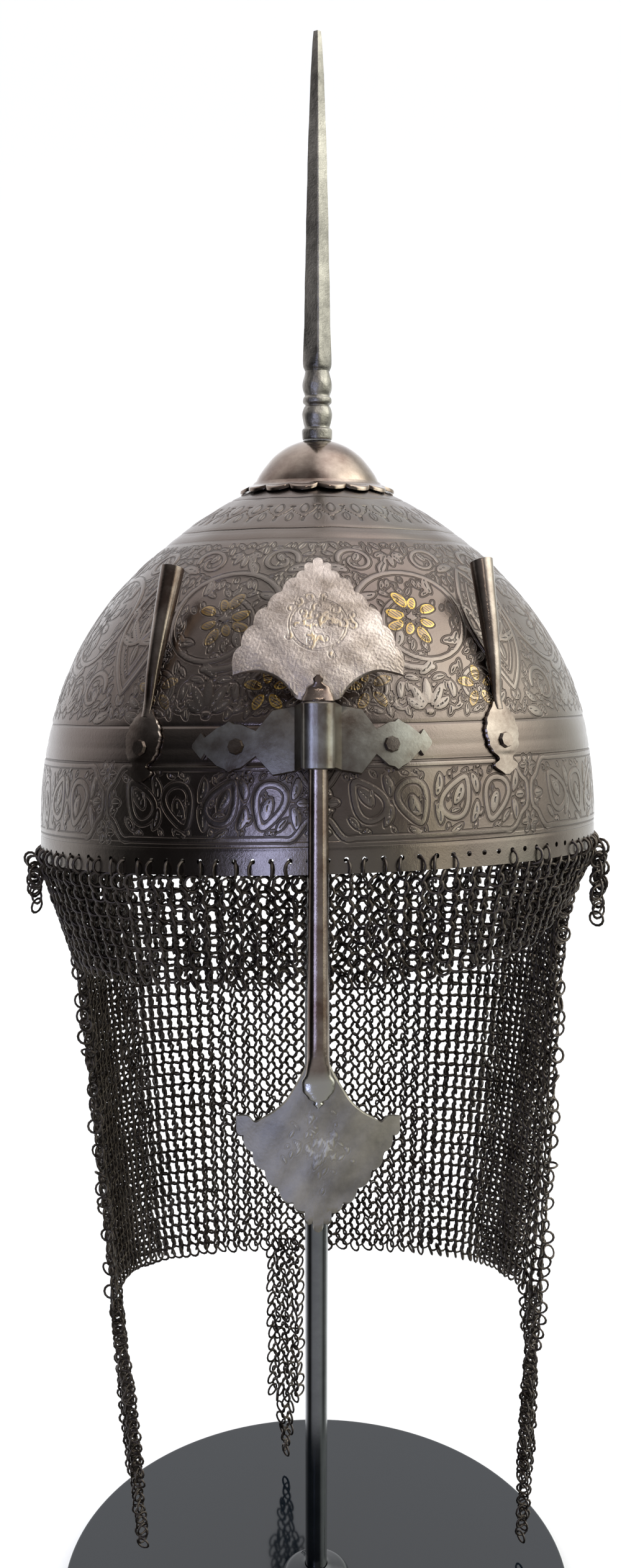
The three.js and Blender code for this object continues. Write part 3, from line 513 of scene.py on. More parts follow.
def bowlCrown():
    n = skin["columns"]
    first = int(np.searchsorted(heights, skin["bandTop"]))
    rings, counts, kept = [], [], []
    for i in range(first, len(arcs)):
        step = 2 if heights[i] > skin["halveAbove"] else 1
        rings.append(bowlRing(heights[i], radii[i], slopes[i], relief[i, ::step], n // step))
        counts.append(n // step)
        kept.append((i, step))
    rings.append(np.array([[0, 0, dome["height"]]]))
    rings.append(np.array([[0, 0, innerCrown]]))
    counts += [1, 1]
    for share in (0.995, 0.97, 0.93, 0.87, 0.8, 0.7, 0.6, 0.48, skin["bandTop"] / innerCrown):
        rings.append(innerRing(share, n // 4 if share > 0.9 else n // 2))
        counts.append(len(rings[-1]))
    rings.append(innerRing(skin["bandTop"] / innerCrown, n))
    counts.append(n)
    points = np.vstack(rings)
    faces = [f for f in joinRings(counts) if len(set(f)) > 2]
    last = len(points) - n
    for j in range(n):  # the hidden edge between the two halves of the wall
        i = (j + 1) % n
        faces.append((last + j, last + i, i, j))
    named = {}
    for name, layer in layers.items():
        outside = np.concatenate([layer[i, ::step] for i, step in kept])
        named[name] = np.concatenate([outside, np.full(len(points) - len(outside), 5.0)])
    return meshPiece("bowlCrown", toRow(points), faces, 50, named)


band = rimBand()
crown = bowlCrown()

# mail: closed iron rings, each through four others

mail = {
    "ringRadius": 2.85, "wire": 1.0, "ringSides": 12, "wireSides": 4, "rowStep": 3.05,
    "linkShare": 7.77, "jitter": 0.07, "faceTurn": 82.0, "drop": 225.0, "hemDip": 15.0,
    "hemHalfWidth": 86.0, "hemDepth": 52.0, "hemBack": 44.0, "squareness": 2.4,
    "edgeTurn": 22.0, "leftForward": 13.0, "rightForward": 5.0, "rightOut": 13.0,
    "pinch": 0.45, "pinchLength": 0.08, "fringeDrop": 42.0, "fringePull": 4.0,
    "fringePinch": 8.0, "fringeTorn": 0.3, "pointLength": 134.0, "pointWidth": 15.0,
    "clearance": 7.0, "backPointTurn": 186.6, "leftPointDrift": 8.0, "baseTop": 6.0, "seed": 5,
    "firstRow": 3.0, "pointRowStep": 3.15, "pointSpacing": 4.3, "pointLean": 0.92, "rightTwist": -46.0,
    "backTwist": -8.0, "leftTwist": 18.0, "edgeStep": 0.027, "edgeTorn": 0.2, "rimRise": 1.75,
    "rimSwing": 0.42, "scrapOut": 3.2, "scrapStep": 3.6, "sizeSpread": 0.02,
    "bareHoles": (8, 9, 10, 12, 15, 16),  # brim holes over the face that have lost their ring
}
mailRng = np.random.default_rng(mail["seed"])
pitch = 2 * math.pi / dome["holes"]


def brimPoint(turn):
    x = (dome["radius"] - dome["wall"] / 2) * np.sin(turn)
    y = -(dome["radius"] - dome["wall"] / 2) * np.cos(turn)
    return toRow(np.stack([x, y, tiltLift(dome["radius"] * np.sin(turn), 0) - 0.3], -1))


def curtainPoint(turn, share):
    turn, share = np.broadcast_arrays(np.asarray(turn, float), np.asarray(share, float))
    top = brimPoint(turn)
    rounded = lambda value: np.sign(value) * np.abs(value) ** (2 / mail["squareness"])
    edge = math.radians(mail["edgeTurn"])
    nearEdge = lambda gap: np.clip(1 - np.maximum(gap, 0) / edge, 0, 1) ** 2
    right = nearEdge(turn - math.radians(mail["faceTurn"]))
    left = nearEdge(2 * math.pi - math.radians(mail["faceTurn"]) - turn)
    forward = share * (right * mail["rightForward"] + left * mail["leftForward"])
    hem = np.stack([
        mail["hemHalfWidth"] * rounded(np.sin(turn)),
        mail["hemBack"] - helmetSeat["forward"] - mail["hemDepth"] * rounded(np.cos(turn)),
        mail["baseTop"] + mail["clearance"] + mail["pointLength"] + mail["hemDip"] * np.cos(turn),
    ], -1)
    drawn = mail["pinch"] * (1 - np.exp(-share / mail["pinchLength"])) + (1 - mail["pinch"]) * share
    return np.stack([
        top[..., 0] + (hem[..., 0] - top[..., 0]) * drawn + share * right * mail["rightOut"],
        top[..., 1] + (hem[..., 1] - top[..., 1]) * drawn - forward,
        top[..., 2] + (hem[..., 2] - top[..., 2]) * share,
    ], -1)


def fringePoint(turn, share):
    turn, share = np.broadcast_arrays(np.asarray(turn, float), np.asarray(share, float))
    place = brimPoint(turn)
    pull = share * (mail["fringePull"] + mail["fringePinch"] * np.sin(turn) ** 2)
    torn = 1 - mail["fringeTorn"] * np.maximum(0, np.sin(turn)) ** 2
    return place + np.stack([
        -pull * np.sin(turn), pull * np.cos(turn), -share * mail["fringeDrop"] * torn], -1)


def woven(surface, turns, shares, rowNumber):  # centres and facings of rings on a surface
    step = 0.004
    centre = surface(turns, shares)
    across = surface(turns + step, shares) - surface(turns - step, shares)
    spacing = np.linalg.norm(across, axis=-1) / (2 * step) * pitch
    down = surface(turns, shares + step) - surface(turns, np.maximum(0, shares - step))
    across /= np.linalg.norm(across, axis=-1, keepdims=True)
    down /= np.linalg.norm(down, axis=-1, keepdims=True)
    out = np.cross(down, across)
    lean = np.arccos(np.clip(spacing / mail["linkShare"], 0.45, 0.97))
    lean = lean * np.where(rowNumber % 2, -1, 1)
    lean = lean + mailRng.normal(0, mail["jitter"], lean.shape)
    axis = out * np.cos(lean)[..., None] + across * np.sin(lean)[..., None]
    axis += down * mailRng.normal(0.0, 2 * mail["jitter"], lean.shape)[..., None]
    centre = centre + mailRng.normal(0, 0.12, centre.shape)
    return centre.reshape(-1, 3), axis.reshape(-1, 3), across.reshape(-1, 3)


def facing(axis, level):  # Euler angles that turn a ring's axis and a level spoke there
    z = axis / np.linalg.norm(axis, axis=1, keepdims=True)
    x = level - z * np.sum(level * z, axis=1, keepdims=True)
    x /= np.linalg.norm(x, axis=1, keepdims=True)
    y = np.cross(z, x)
    return np.stack([np.arctan2(y[:, 2], z[:, 2]), -np.arcsin(np.clip(x[:, 2], -1, 1)),
                     np.arctan2(x[:, 1], x[:, 0])], 1)


def pointTree(name, inputs):  # Geometry Nodes with points in, a mesh out and named inputs
    tree = bpy.data.node_groups.new(name, "GeometryNodeTree")
    tree.interface.new_socket("Geometry", in_out="INPUT", socket_type="NodeSocketGeometry")
    for label, kind in inputs:
        tree.interface.new_socket(label, in_out="INPUT", socket_type="NodeSocket" + kind)
    tree.interface.new_socket("Geometry", in_out="OUTPUT", socket_type="NodeSocketGeometry")
    return tree, addNode(tree, "NodeGroupInput")


def standOnPoints(tree, start, shape, material, smooth):  # the shape on every point, made real
    turn = addNode(tree, "GeometryNodeInputNamedAttribute", {"Name": "facing"}, data_type="FLOAT_VECTOR")
    size = addNode(tree, "GeometryNodeInputNamedAttribute", {"Name": "ringScale"}, data_type="FLOAT")
    euler = addNode(tree, "FunctionNodeEulerToRotation", {"Euler": turn.outputs["Attribute"]})
    placed = addNode(tree, "GeometryNodeInstanceOnPoints",
                     {"Points": start.outputs["Geometry"], "Instance": shape,
                      "Rotation": euler.outputs["Rotation"], "Scale": size.outputs["Attribute"]})
    real = addNode(tree, "GeometryNodeRealizeInstances", {"Geometry": placed.outputs["Instances"]})
    if smooth:
        real = addNode(tree, "GeometryNodeSetShadeSmooth", {"Geometry": real.outputs["Geometry"]})
    finish = addNode(tree, "GeometryNodeSetMaterial",
                     {"Geometry": real.outputs["Geometry"], "Material": material})
    addNode(tree, "NodeGroupOutput", {"Geometry": finish.outputs["Geometry"]})
    return tree


def ringTree(material):  # one wire ring stood on every point
    tree, start = pointTree("linkedRings", (("Ring radius", "Float"), ("Wire radius", "Float"),
                                            ("Ring sides", "Int"), ("Wire sides", "Int")))
    given = start.outputs
    circle = addNode(tree, "GeometryNodeCurvePrimitiveCircle",
                     {"Radius": given["Ring radius"], "Resolution": given["Ring sides"]})
    wire = addNode(tree, "GeometryNodeCurvePrimitiveCircle",
                   {"Radius": given["Wire radius"], "Resolution": given["Wire sides"]})
    ring = addNode(tree, "GeometryNodeCurveToMesh",
                   {"Curve": circle.outputs["Curve"], "Profile Curve": wire.outputs["Curve"]})
    return standOnPoints(tree, start, ring.outputs["Mesh"], material, True)


def addNode(tree, kind, inputs=None, **settings):  # a node with its settings, values and links
    made = tree.nodes.new(kind)
    for name, value in settings.items():
        setattr(made, name, value)
    for key, value in (inputs or {}).items():
        if isinstance(value, bpy.types.NodeSocket):
            tree.links.new(value, made.inputs[key])
        else:
            made.inputs[key].default_value = value
    return made


def colour(text):  # an sRGB hex value as linear light
    parts = [int(text[k:k + 2], 16) / 255 for k in (1, 3, 5)]
    return [c / 12.92 if c <= 0.04045 else ((c + 0.055) / 1.055) ** 2.4 for c in parts] + [1.0]


def grownPiece(name, tree, centres, turns, scales, values):  # points -> nodes -> a plain mesh
    cloud = bpy.data.meshes.new(name + "Points")
    cloud.from_pydata((centres * 0.001).tolist(), [], [])
    cloud.attributes.new("facing", "FLOAT_VECTOR",
                         "POINT").data.foreach_set("vector", turns.astype(np.float32).ravel())
    cloud.attributes.new("ringScale", "FLOAT", "POINT").data.foreach_set("value", scales.astype(np.float32))
    holder = bpy.data.objects.new(name + "Points", cloud)
    bpy.context.scene.collection.objects.link(holder)
    nodes = holder.modifiers.new("rings", "NODES")
    nodes.node_group = tree
    for socket in tree.interface.items_tree:
        if socket.item_type == "SOCKET" and socket.in_out == "INPUT" and socket.name in values:
            nodes[socket.identifier] = values[socket.name]
    grown = holder.evaluated_get(bpy.context.evaluated_depsgraph_get())
    mesh = bpy.data.meshes.new_from_object(grown)
    mesh.name = name
    holder.modifiers.remove(nodes)
    bpy.data.objects.remove(holder)
    bpy.data.meshes.remove(cloud)
    piece = bpy.data.objects.new(name, mesh)
    bpy.context.scene.collection.objects.link(piece)
    return piece


# finishes

def newMaterial(name):
    material = bpy.data.materials.new(name)
    material.use_nodes = True
    material.node_tree.nodes.clear()
    return material, material.node_tree


def lineMask(tree, distance, at, half):  # 1 along a contour of a distance layer, 0 beside it
    gap = addNode(tree, "ShaderNodeMath", {0: distance, 1: at}, operation="SUBTRACT")
    near = addNode(tree, "ShaderNodeMath", {0: gap.outputs[0]}, operation="ABSOLUTE")
    mask = addNode(tree, "ShaderNodeMapRange",
                   {"Value": near.outputs[0], "From Min": half, "From Max": half * 0.35,
                   "To Min": 0.0, "To Max": 1.0}, interpolation_type="SMOOTHSTEP")
    return mask.outputs["Result"]


# Russet steel: crucible steel raised hot, chased, then browned; the brown wears to grey on
# what stands proud, fine pits keep it matt, and the chased lines hold dirt.
russetLook = {"brown": ("#4b3d37", "#766c66"), "olive": "#76776d", "rubbed": "#9d9690",
              "dirt": "#1d1714", "gold": "#b3914a", "rough": (0.16, 0.3)}


def makeRusset():
    material, tree = newMaterial("russetSteel")
    place = addNode(tree, "ShaderNodeTexCoord").outputs["Object"]
    layer = {name: addNode(tree, "ShaderNodeAttribute", attribute_name=name).outputs["Fac"]
             for name in ("strap", "leaf", "vein", "gold", "groove")}
    patina = addNode(tree, "ShaderNodeTexNoise",
                     {"Vector": place, "Scale": 22.0, "Detail": 5.0, "Roughness": 0.6})
    bloom = addNode(tree, "ShaderNodeTexNoise", {"Vector": place, "Scale": 9.0, "Detail": 2.0})
    pits = addNode(tree, "ShaderNodeTexNoise",
                   {"Vector": place, "Scale": 900.0, "Detail": 3.0, "Roughness": 0.7})
    brown = addNode(tree, "ShaderNodeMix",
                    {0: patina.outputs["Fac"], 6: colour(russetLook["brown"][0]),
                     7: colour(russetLook["brown"][1])}, data_type="RGBA")
    olive = addNode(tree, "ShaderNodeMapRange",
                    {"Value": bloom.outputs["Fac"], "From Min": 0.5, "From Max": 0.68, "To Max": 0.5})
    steel = addNode(tree, "ShaderNodeMix",
                    {0: olive.outputs["Result"], 6: brown.outputs[2], 7: colour(russetLook["olive"])},
                    data_type="RGBA")
    # raised work is rubbed brighter
    proud = addNode(tree, "ShaderNodeMath", {0: layer["strap"], 1: layer["leaf"]}, operation="MINIMUM")
    rubbed = addNode(tree, "ShaderNodeMapRange",
                     {"Value": proud.outputs[0], "From Min": 0.1, "From Max": -0.9, "To Max": 0.35})
    worn = addNode(tree, "ShaderNodeMath", {0: rubbed.outputs["Result"], 1: patina.outputs["Fac"]},
                   operation="MULTIPLY")
    bright = addNode(tree, "ShaderNodeMix",
                     {0: worn.outputs[0], 6: steel.outputs[2], 7: colour(russetLook["rubbed"])},
                     data_type="RGBA")
    # chased outlines, veins and border lines
    outline = lineMask(tree, proud.outputs[0], 0.3, 0.42)
    border = lineMask(tree, layer["groove"], 0.0, 0.42)
    inLeaf = addNode(tree, "ShaderNodeMapRange",
                     {"Value": layer["leaf"], "From Min": -0.2, "From Max": -0.5})
    veinLine = lineMask(tree, layer["vein"], 0.0, 0.36)
    veins = addNode(tree, "ShaderNodeMath", {0: veinLine, 1: inLeaf.outputs["Result"]},
                    operation="MULTIPLY")
    goldEdge = lineMask(tree, layer["gold"], 0.35, 0.3)
    lines = addNode(tree, "ShaderNodeMath", {0: outline, 1: border}, operation="MAXIMUM")
    lines = addNode(tree, "ShaderNodeMath", {0: lines.outputs[0], 1: veins.outputs[0]}, operation="MAXIMUM")
    lines = addNode(tree, "ShaderNodeMath", {0: lines.outputs[0], 1: goldEdge},
                    operation="MAXIMUM").outputs[0]
    soiled = addNode(tree, "ShaderNodeMapRange",
                     {"Value": patina.outputs["Fac"], "From Min": 0.35, "From Max": 0.65, "To Min": 0.5,
                      "To Max": 0.15})
    inked = addNode(tree, "ShaderNodeMath", {0: lines, 1: soiled.outputs["Result"]}, operation="MULTIPLY")
    engraved = addNode(tree, "ShaderNodeMix",
                       {0: inked.outputs[0], 6: bright.outputs[2], 7: colour(russetLook["dirt"])},
                       data_type="RGBA")
    # gold beaten into hatched steel, rubbed away in places
    goldIn = addNode(tree, "ShaderNodeMapRange",
                     {"Value": layer["gold"], "From Min": 0.1, "From Max": -0.15})
    rub = addNode(tree, "ShaderNodeMapRange",
                  {"Value": patina.outputs["Fac"], "From Min": 0.38, "From Max": 0.6, "To Min": 0.95,
                   "To Max": 0.3})
    # about 0.9 mm apart
    hatch = addNode(tree, "ShaderNodeTexWave", {"Vector": place, "Scale": 392.0},
                    bands_direction="DIAGONAL")
    hatched = addNode(tree, "ShaderNodeMath", {0: hatch.outputs["Fac"], 1: 0.6}, operation="GREATER_THAN")
    rim = lineMask(tree, layer["gold"], -0.2, 0.42)
    thin = addNode(tree, "ShaderNodeMath", {0: hatched.outputs[0], 1: 0.6}, operation="MULTIPLY")
    marks = addNode(tree, "ShaderNodeMath", {0: thin.outputs[0], 1: rim}, operation="MAXIMUM")
    inlaid = addNode(tree, "ShaderNodeMath", {0: marks.outputs[0], 1: rub.outputs["Result"]},
                     operation="MULTIPLY")
    leafed = addNode(tree, "ShaderNodeMath", {0: goldIn.outputs["Result"], 1: inlaid.outputs[0]},
                     operation="MULTIPLY")
    final = addNode(tree, "ShaderNodeMix",
                    {0: leafed.outputs[0], 6: engraved.outputs[2], 7: colour(russetLook["gold"])},
                    data_type="RGBA")
    rough = addNode(tree, "ShaderNodeMapRange",
                    {"Value": patina.outputs["Fac"], "From Min": 0.3, "From Max": 0.7,
                     "To Min": russetLook["rough"][0], "To Max": russetLook["rough"][1]})
    roughest = addNode(tree, "ShaderNodeMath", {0: lines, 1: 0.15, 2: rough.outputs["Result"]},
                       operation="MULTIPLY_ADD")
    depth = addNode(tree, "ShaderNodeMath", {0: lines, 1: -0.0003}, operation="MULTIPLY")
    grit = addNode(tree, "ShaderNodeTexNoise",
                   {"Vector": place, "Scale": 2300.0, "Detail": 2.0, "Roughness": 0.6})
    fine = addNode(tree, "ShaderNodeMath", {0: grit.outputs["Fac"], 1: 0.00003, 2: depth.outputs[0]},
                   operation="MULTIPLY_ADD")
    grain = addNode(tree, "ShaderNodeMath", {0: pits.outputs["Fac"], 1: 0.00005, 2: fine.outputs[0]},
                    operation="MULTIPLY_ADD")
    bump = addNode(tree, "ShaderNodeBump", {"Height": grain.outputs[0], "Strength": 1.0, "Distance": 1.0})
    shader = addNode(tree, "ShaderNodeBsdfPrincipled", {"Base Color": final.outputs[2], "Metallic": 1.0,
                     "Roughness": roughest.outputs[0], "Normal": bump.outputs["Normal"]})
    addNode(tree, "ShaderNodeOutputMaterial", {"Surface": shader.outputs["BSDF"]})
    return material


# Forged iron fittings: the same steel without its chased layers, mottled by old rust and
# pitted; on a palmette the worn engraving ("work") keeps a little dirt and gold.
# Grain and cut are heights in metres; rubbedBelow is a height in the frame, in metres.
forgedLooks = {
    "forgedBrownSteel": {"tone": ("#54463f", "#8b8078"), "rough": (0.1, 0.2), "grain": 0.00005},
    "burnishedBrownSteel": {"tone": ("#65554d", "#94867b"), "rough": (0.07, 0.13), "grain": 0.00002},
    "slidingBarSteel": {"tone": ("#57463e", "#8b7f77"), "rough": (0.12, 0.22), "grain": 0.00005,
                        "rubbedBelow": 0.3445, "rubbed": "#a5a29b"},
    "forgedGreySteel": {"tone": ("#635f5a", "#a39d95"), "rough": (0.24, 0.38), "grain": 0.0002},
    "bracketSteel": {"tone": ("#5e534b", "#8f8c85"), "rough": (0.26, 0.38), "grain": 0.00005},
    "rubbedGreySteel": {"tone": ("#767168", "#9f988b"), "rough": (0.4, 0.52), "grain": 0.00006,
                        "work": {"ink": 0.05, "gilding": 0.5, "trace": "#dedad2", "cut": -0.00004}},
    "pittedGreySteel": {"tone": ("#86796f", "#c9bbb3"), "rough": (0.26, 0.38), "grain": 0.00024,
                        "work": {"ink": 0.22, "gilding": 0.55, "trace": "#c9a866", "cut": -0.00012}},
    "ironMailWire": {"tone": ("#38312c", "#5d554f"), "rough": (0.35, 0.5), "grain": 0.00003},
    "blackedPoleSteel": {"tone": ("#707275", "#808285"), "rough": (0.12, 0.2), "grain": 0.00001},
}


def makeForged(name):
    look = forgedLooks[name]
    material, tree = newMaterial(name)
    place = addNode(tree, "ShaderNodeTexCoord").outputs["Object"]
    patina = addNode(tree, "ShaderNodeTexNoise",
                     {"Vector": place, "Scale": 60.0, "Detail": 6.0, "Roughness": 0.65})
    pits = addNode(tree, "ShaderNodeTexNoise",
                   {"Vector": place, "Scale": 900.0, "Detail": 4.0, "Roughness": 0.75})
    spread = addNode(tree, "ShaderNodeMapRange",
                     {"Value": patina.outputs["Fac"], "From Min": 0.35, "From Max": 0.65})
    tone = addNode(tree, "ShaderNodeMix",
                   {0: spread.outputs["Result"], 6: colour(look["tone"][0]), 7: colour(look["tone"][1])},
                   data_type="RGBA").outputs[2]
    rough = addNode(tree, "ShaderNodeMapRange",
                    {"Value": patina.outputs["Fac"], "From Min": 0.3, "From Max": 0.7,
                     "To Min": look["rough"][0], "To Max": look["rough"][1]})
    if "rubbedBelow" in look:  # the bar's foot is rubbed bright where hands move it
        height = addNode(tree, "ShaderNodeSeparateXYZ", {"Vector": place}).outputs["Z"]
        low = addNode(tree, "ShaderNodeMapRange",
                      {"Value": height, "From Min": look["rubbedBelow"] + 0.004,
                       "From Max": look["rubbedBelow"]})
        tone = addNode(tree, "ShaderNodeMix",
                       {0: low.outputs["Result"], 6: tone, 7: colour(look["rubbed"])},
                       data_type="RGBA").outputs[2]
    height = addNode(tree, "ShaderNodeMath", {0: pits.outputs["Fac"], 1: look["grain"]},
                     operation="MULTIPLY")
    if "work" in look:
        mark = look["work"]
        work = addNode(tree, "ShaderNodeAttribute", attribute_name="work").outputs["Fac"]
        cut = lineMask(tree, work, 0.35, 0.4)
        dirty = addNode(tree, "ShaderNodeMath", {0: cut, 1: mark["ink"]}, operation="MULTIPLY")
        tone = addNode(tree, "ShaderNodeMix", {0: dirty.outputs[0], 6: tone, 7: colour("#3a302a")},
                       data_type="RGBA").outputs[2]
        inside = addNode(tree, "ShaderNodeMapRange",
                         {"Value": work, "From Min": 0.15, "From Max": -0.1, "To Max": mark["gilding"]})
        left = addNode(tree, "ShaderNodeMath", {0: inside.outputs["Result"], 1: spread.outputs["Result"]},
                       operation="MULTIPLY")
        tone = addNode(tree, "ShaderNodeMix", {0: left.outputs[0], 6: tone, 7: colour(mark["trace"])},
                       data_type="RGBA").outputs[2]
        height = addNode(tree, "ShaderNodeMath", {0: cut, 1: mark["cut"], 2: height.outputs[0]},
                         operation="MULTIPLY_ADD")
    bump = addNode(tree, "ShaderNodeBump", {"Height": height.outputs[0], "Strength": 1.0, "Distance": 1.0})
    shader = addNode(tree, "ShaderNodeBsdfPrincipled", {"Base Color": tone, "Metallic": 1.0,
                     "Roughness": rough.outputs["Result"], "Normal": bump.outputs["Normal"]})
    addNode(tree, "ShaderNodeOutputMaterial", {"Surface": shader.outputs["BSDF"]})
    return material


# Black lacquered disc: glossy enamel on turned board or metal, with the faintest ripple.
def makeLacquer():
    material, tree = newMaterial("blackLacquer")
    place = addNode(tree, "ShaderNodeTexCoord").outputs["Object"]
    haze = addNode(tree, "ShaderNodeTexNoise", {"Vector": place, "Scale": 30.0, "Detail": 3.0})
    rough = addNode(tree, "ShaderNodeMapRange",
                    {"Value": haze.outputs["Fac"], "To Min": 0.04, "To Max": 0.1})
    shader = addNode(tree, "ShaderNodeBsdfPrincipled", {"Base Color": colour("#0a1219"), "Metallic": 0.0,
                     "Roughness": rough.outputs["Result"], "IOR": 1.5})
    addNode(tree, "ShaderNodeOutputMaterial", {"Surface": shader.outputs["BSDF"]})
    return material


russet = makeRusset()
forged = makeForged("forgedBrownSteel")
bossSteel = makeForged("burnishedBrownSteel")
barSteel = makeForged("slidingBarSteel")
spikeSteel = makeForged("forgedGreySteel")
bracketSteel = makeForged("bracketSteel")
greySteel = makeForged("rubbedGreySteel")
pittedSteel = makeForged("pittedGreySteel")
mailIron = makeForged("ironMailWire")
poleSteel = makeForged("blackedPoleSteel")
lacquer = makeLacquer()

print("kulah khud: linking the mail")
rings = ringTree(mailIron)
ringValues = {"Ring radius": mail["ringRadius"] * 0.001, "Wire radius": mail["wire"] * 0.00055,
              "Ring sides": mail["ringSides"], "Wire sides": mail["wireSides"]}


def wovenSheet(surface, firstHole, lastHole, drop, part=(-math.inf, math.inf), keep=None):
    centres, axes, levels = [], [], []
    rows = int(round(drop / mail["rowStep"]))
    for row in range(rows):  # odd rows hang under the holes and even rows between them
        columns = np.arange(firstHole, lastHole + row % 2) + (0.0 if row % 2 else 0.5)
        columns = columns[(columns >= part[0]) & (columns < part[1])]
        turns = (columns + 0.5) * pitch
        shares = np.full(len(turns), (row * mail["rowStep"] + mail["firstRow"]) / (rows * mail["rowStep"]))
        if keep:
            inside = keep(turns, shares)
            turns, shares = turns[inside], shares[inside]
        found = woven(surface, turns, shares, row)
        centres.append(found[0])
        axes.append(found[1])
        levels.append(found[2])
    return np.vstack(centres), np.vstack(axes), np.vstack(levels)


def pointRings(middleTurn, drift, twist):  # a long narrow tongue that hangs plumb from the hem
    hem = curtainPoint(middleTurn, 1.0)
    ahead = curtainPoint(middleTurn + 0.02, 1.0) - curtainPoint(middleTurn - 0.02, 1.0)
    heading = math.atan2(ahead[1], ahead[0])
    length = hem[2] - mail["baseTop"] - mail["clearance"]
    rows = int(length / mail["pointRowStep"])
    centres, axes, levels = [], [], []
    for row in range(rows):
        down = (row + 0.5) / rows
        angle = heading + math.radians(twist) * float(eased(0.0, 0.4, down))
        across = np.array([math.cos(angle), math.sin(angle), 0.0])
        out = np.cross([0.0, 0.0, -1.0], across)
        count = 3 if down < 0.72 else 2 if down < 0.92 else 1
        if row % 2 and count > 1:
            count += 1 if count == 3 else -1
        for k in range(count):
            x = (k - (count - 1) / 2) * mail["pointSpacing"]
            lean = mail["pointLean"] * (1 if row % 2 else -1) + mailRng.normal(0, 0.12)
            centre = hem + across * x - np.array([0, 0, down * length - 1.0])
            centre[0] += drift * down
            centres.append(centre + mailRng.normal(0, 0.2, 3))
            axes.append(out * math.cos(lean) + across * math.sin(lean) + mailRng.normal(0, 0.08, 3))
            levels.append(across)
    return np.array(centres), np.array(axes), np.array(levels)


def edgeRings(hole, side):  # loose end rings that hang along a front edge of the curtain
    shares = np.arange(0.05, 0.99, mail["edgeStep"])
    shares = shares[mailRng.random(len(shares)) > mail["edgeTorn"]]
    centres = curtainPoint((hole + 0.5 + mailRng.uniform(-0.3, 0.25, len(shares))) * pitch, shares)
    centres = centres + np.array([side * 0.4, -0.8, 0.0]) + mailRng.normal(0, 0.5, centres.shape)
    axes = np.array([side * 0.5, -0.9, 0.2]) + mailRng.normal(0, 0.35, centres.shape)
    return centres, axes, np.tile(np.array([1.0, 0.0, 0.0]), (len(shares), 1))


def rimRings(firstHole, lastHole, missing=()):  # one ring through each hole of the brim
    holes = np.array([k for k in range(firstHole, lastHole + 1) if k % dome["holes"] not in missing])
    turns = (holes + 0.5) * pitch
    radius = dome["radius"] - dome["wall"] / 2
    local = np.stack([radius * np.sin(turns), -radius * np.cos(turns),
                      mail["rimRise"] + tiltLift(radius * np.sin(turns), 0)], 1)
    swing = mail["rimSwing"] * np.where(holes % 2, 1, -1) + mailRng.normal(0, 0.12, len(holes))
    away = np.stack([np.cos(turns + swing), np.sin(turns + swing), 0.0 * turns], 1)
    spoke = np.stack([np.sin(turns), -np.cos(turns), 0 * turns], 1)
    origin = toRow(np.zeros(3))
    return toRow(local), toRow(away) - origin, toRow(spoke) - origin


def scraps(holes, rows):  # torn ends that hang outside the bowl from the last holes
    centres, axes, levels = [], [], []
    for hole, count in zip(holes, rows):
        turn = (hole + 0.5) * pitch
        spoke = np.array([math.sin(turn), -math.cos(turn), 0.0])
        across = np.array([math.cos(turn), math.sin(turn), 0.0])
        top = brimPoint(np.array(turn)) + spoke * mail["scrapOut"]
        for k in range(count):
            lean = 0.9 * (-1) ** k + mailRng.normal(0, 0.2)
            centres.append(top + spoke * mailRng.uniform(-0.5, 0.9)
                           - np.array([0, 0, 0.5 + mail["scrapStep"] * k]) + mailRng.normal(0, 0.3, 3))
            axes.append(spoke * math.cos(lean) + across * math.sin(lean) + mailRng.normal(0, 0.15, 3))
            levels.append(across)
    return np.array(centres), np.array(axes), np.array(levels)


def mailPiece(name, *groups):
    centres, axes, levels = (np.vstack([g[k] for g in groups]) for k in range(3))
    scales = 1 + mailRng.normal(0, mail["sizeSpread"], len(centres))
    return grownPiece(name, rings, centres, facing(axes, levels), scales, ringValues)


firstHole = int(math.ceil(math.radians(mail["faceTurn"]) / pitch - 0.5))
lastHole = dome["holes"] - 1 - firstHole
cuts = [firstHole - 1, firstHole + 18.8, lastHole - 18.8, lastHole + 1]
halfPoint = (mail["pointWidth"] / 2 + 0.5) / mail["hemHalfWidth"]
faceEdge = math.radians(mail["faceTurn"])
backTurn = math.radians(mail["backPointTurn"])
mailRight = mailPiece(
    "mailRight", wovenSheet(curtainPoint, firstHole, lastHole, mail["drop"], (cuts[0], cuts[1])),
    pointRings(faceEdge + halfPoint, 0, mail["rightTwist"]), edgeRings(firstHole - 0.25, 1),
    rimRings(firstHole, firstHole + 18),
    scraps((firstHole - 2, firstHole - 1, firstHole, firstHole + 1), (6, 9, 8, 5)))
mailBack = mailPiece(
    "mailBack", wovenSheet(curtainPoint, firstHole, lastHole, mail["drop"], (cuts[1], cuts[2])),
    pointRings(backTurn, 0, mail["backTwist"]), rimRings(firstHole + 19, lastHole - 19))
mailLeft = mailPiece(
    "mailLeft", wovenSheet(curtainPoint, firstHole, lastHole, mail["drop"], (cuts[2], cuts[3])),
    pointRings(2 * math.pi - faceEdge - halfPoint, mail["leftPointDrift"], mail["leftTwist"]),
    edgeRings(lastHole + 0.25, -1), rimRings(lastHole - 18, lastHole),
    scraps((lastHole, lastHole + 1, lastHole + 2), (4, 6, 3)))
mailFringe = mailPiece(
    "mailFringe", wovenSheet(fringePoint, -firstHole, firstHole - 1, mail["fringeDrop"],
                             keep=lambda turn, share: share < 1.12 - 0.42 * eased(0.75, 1.35, turn)),
    rimRings(-firstHole, firstHole - 1, mail["bareHoles"]))

# boss and spike: turned and forged iron

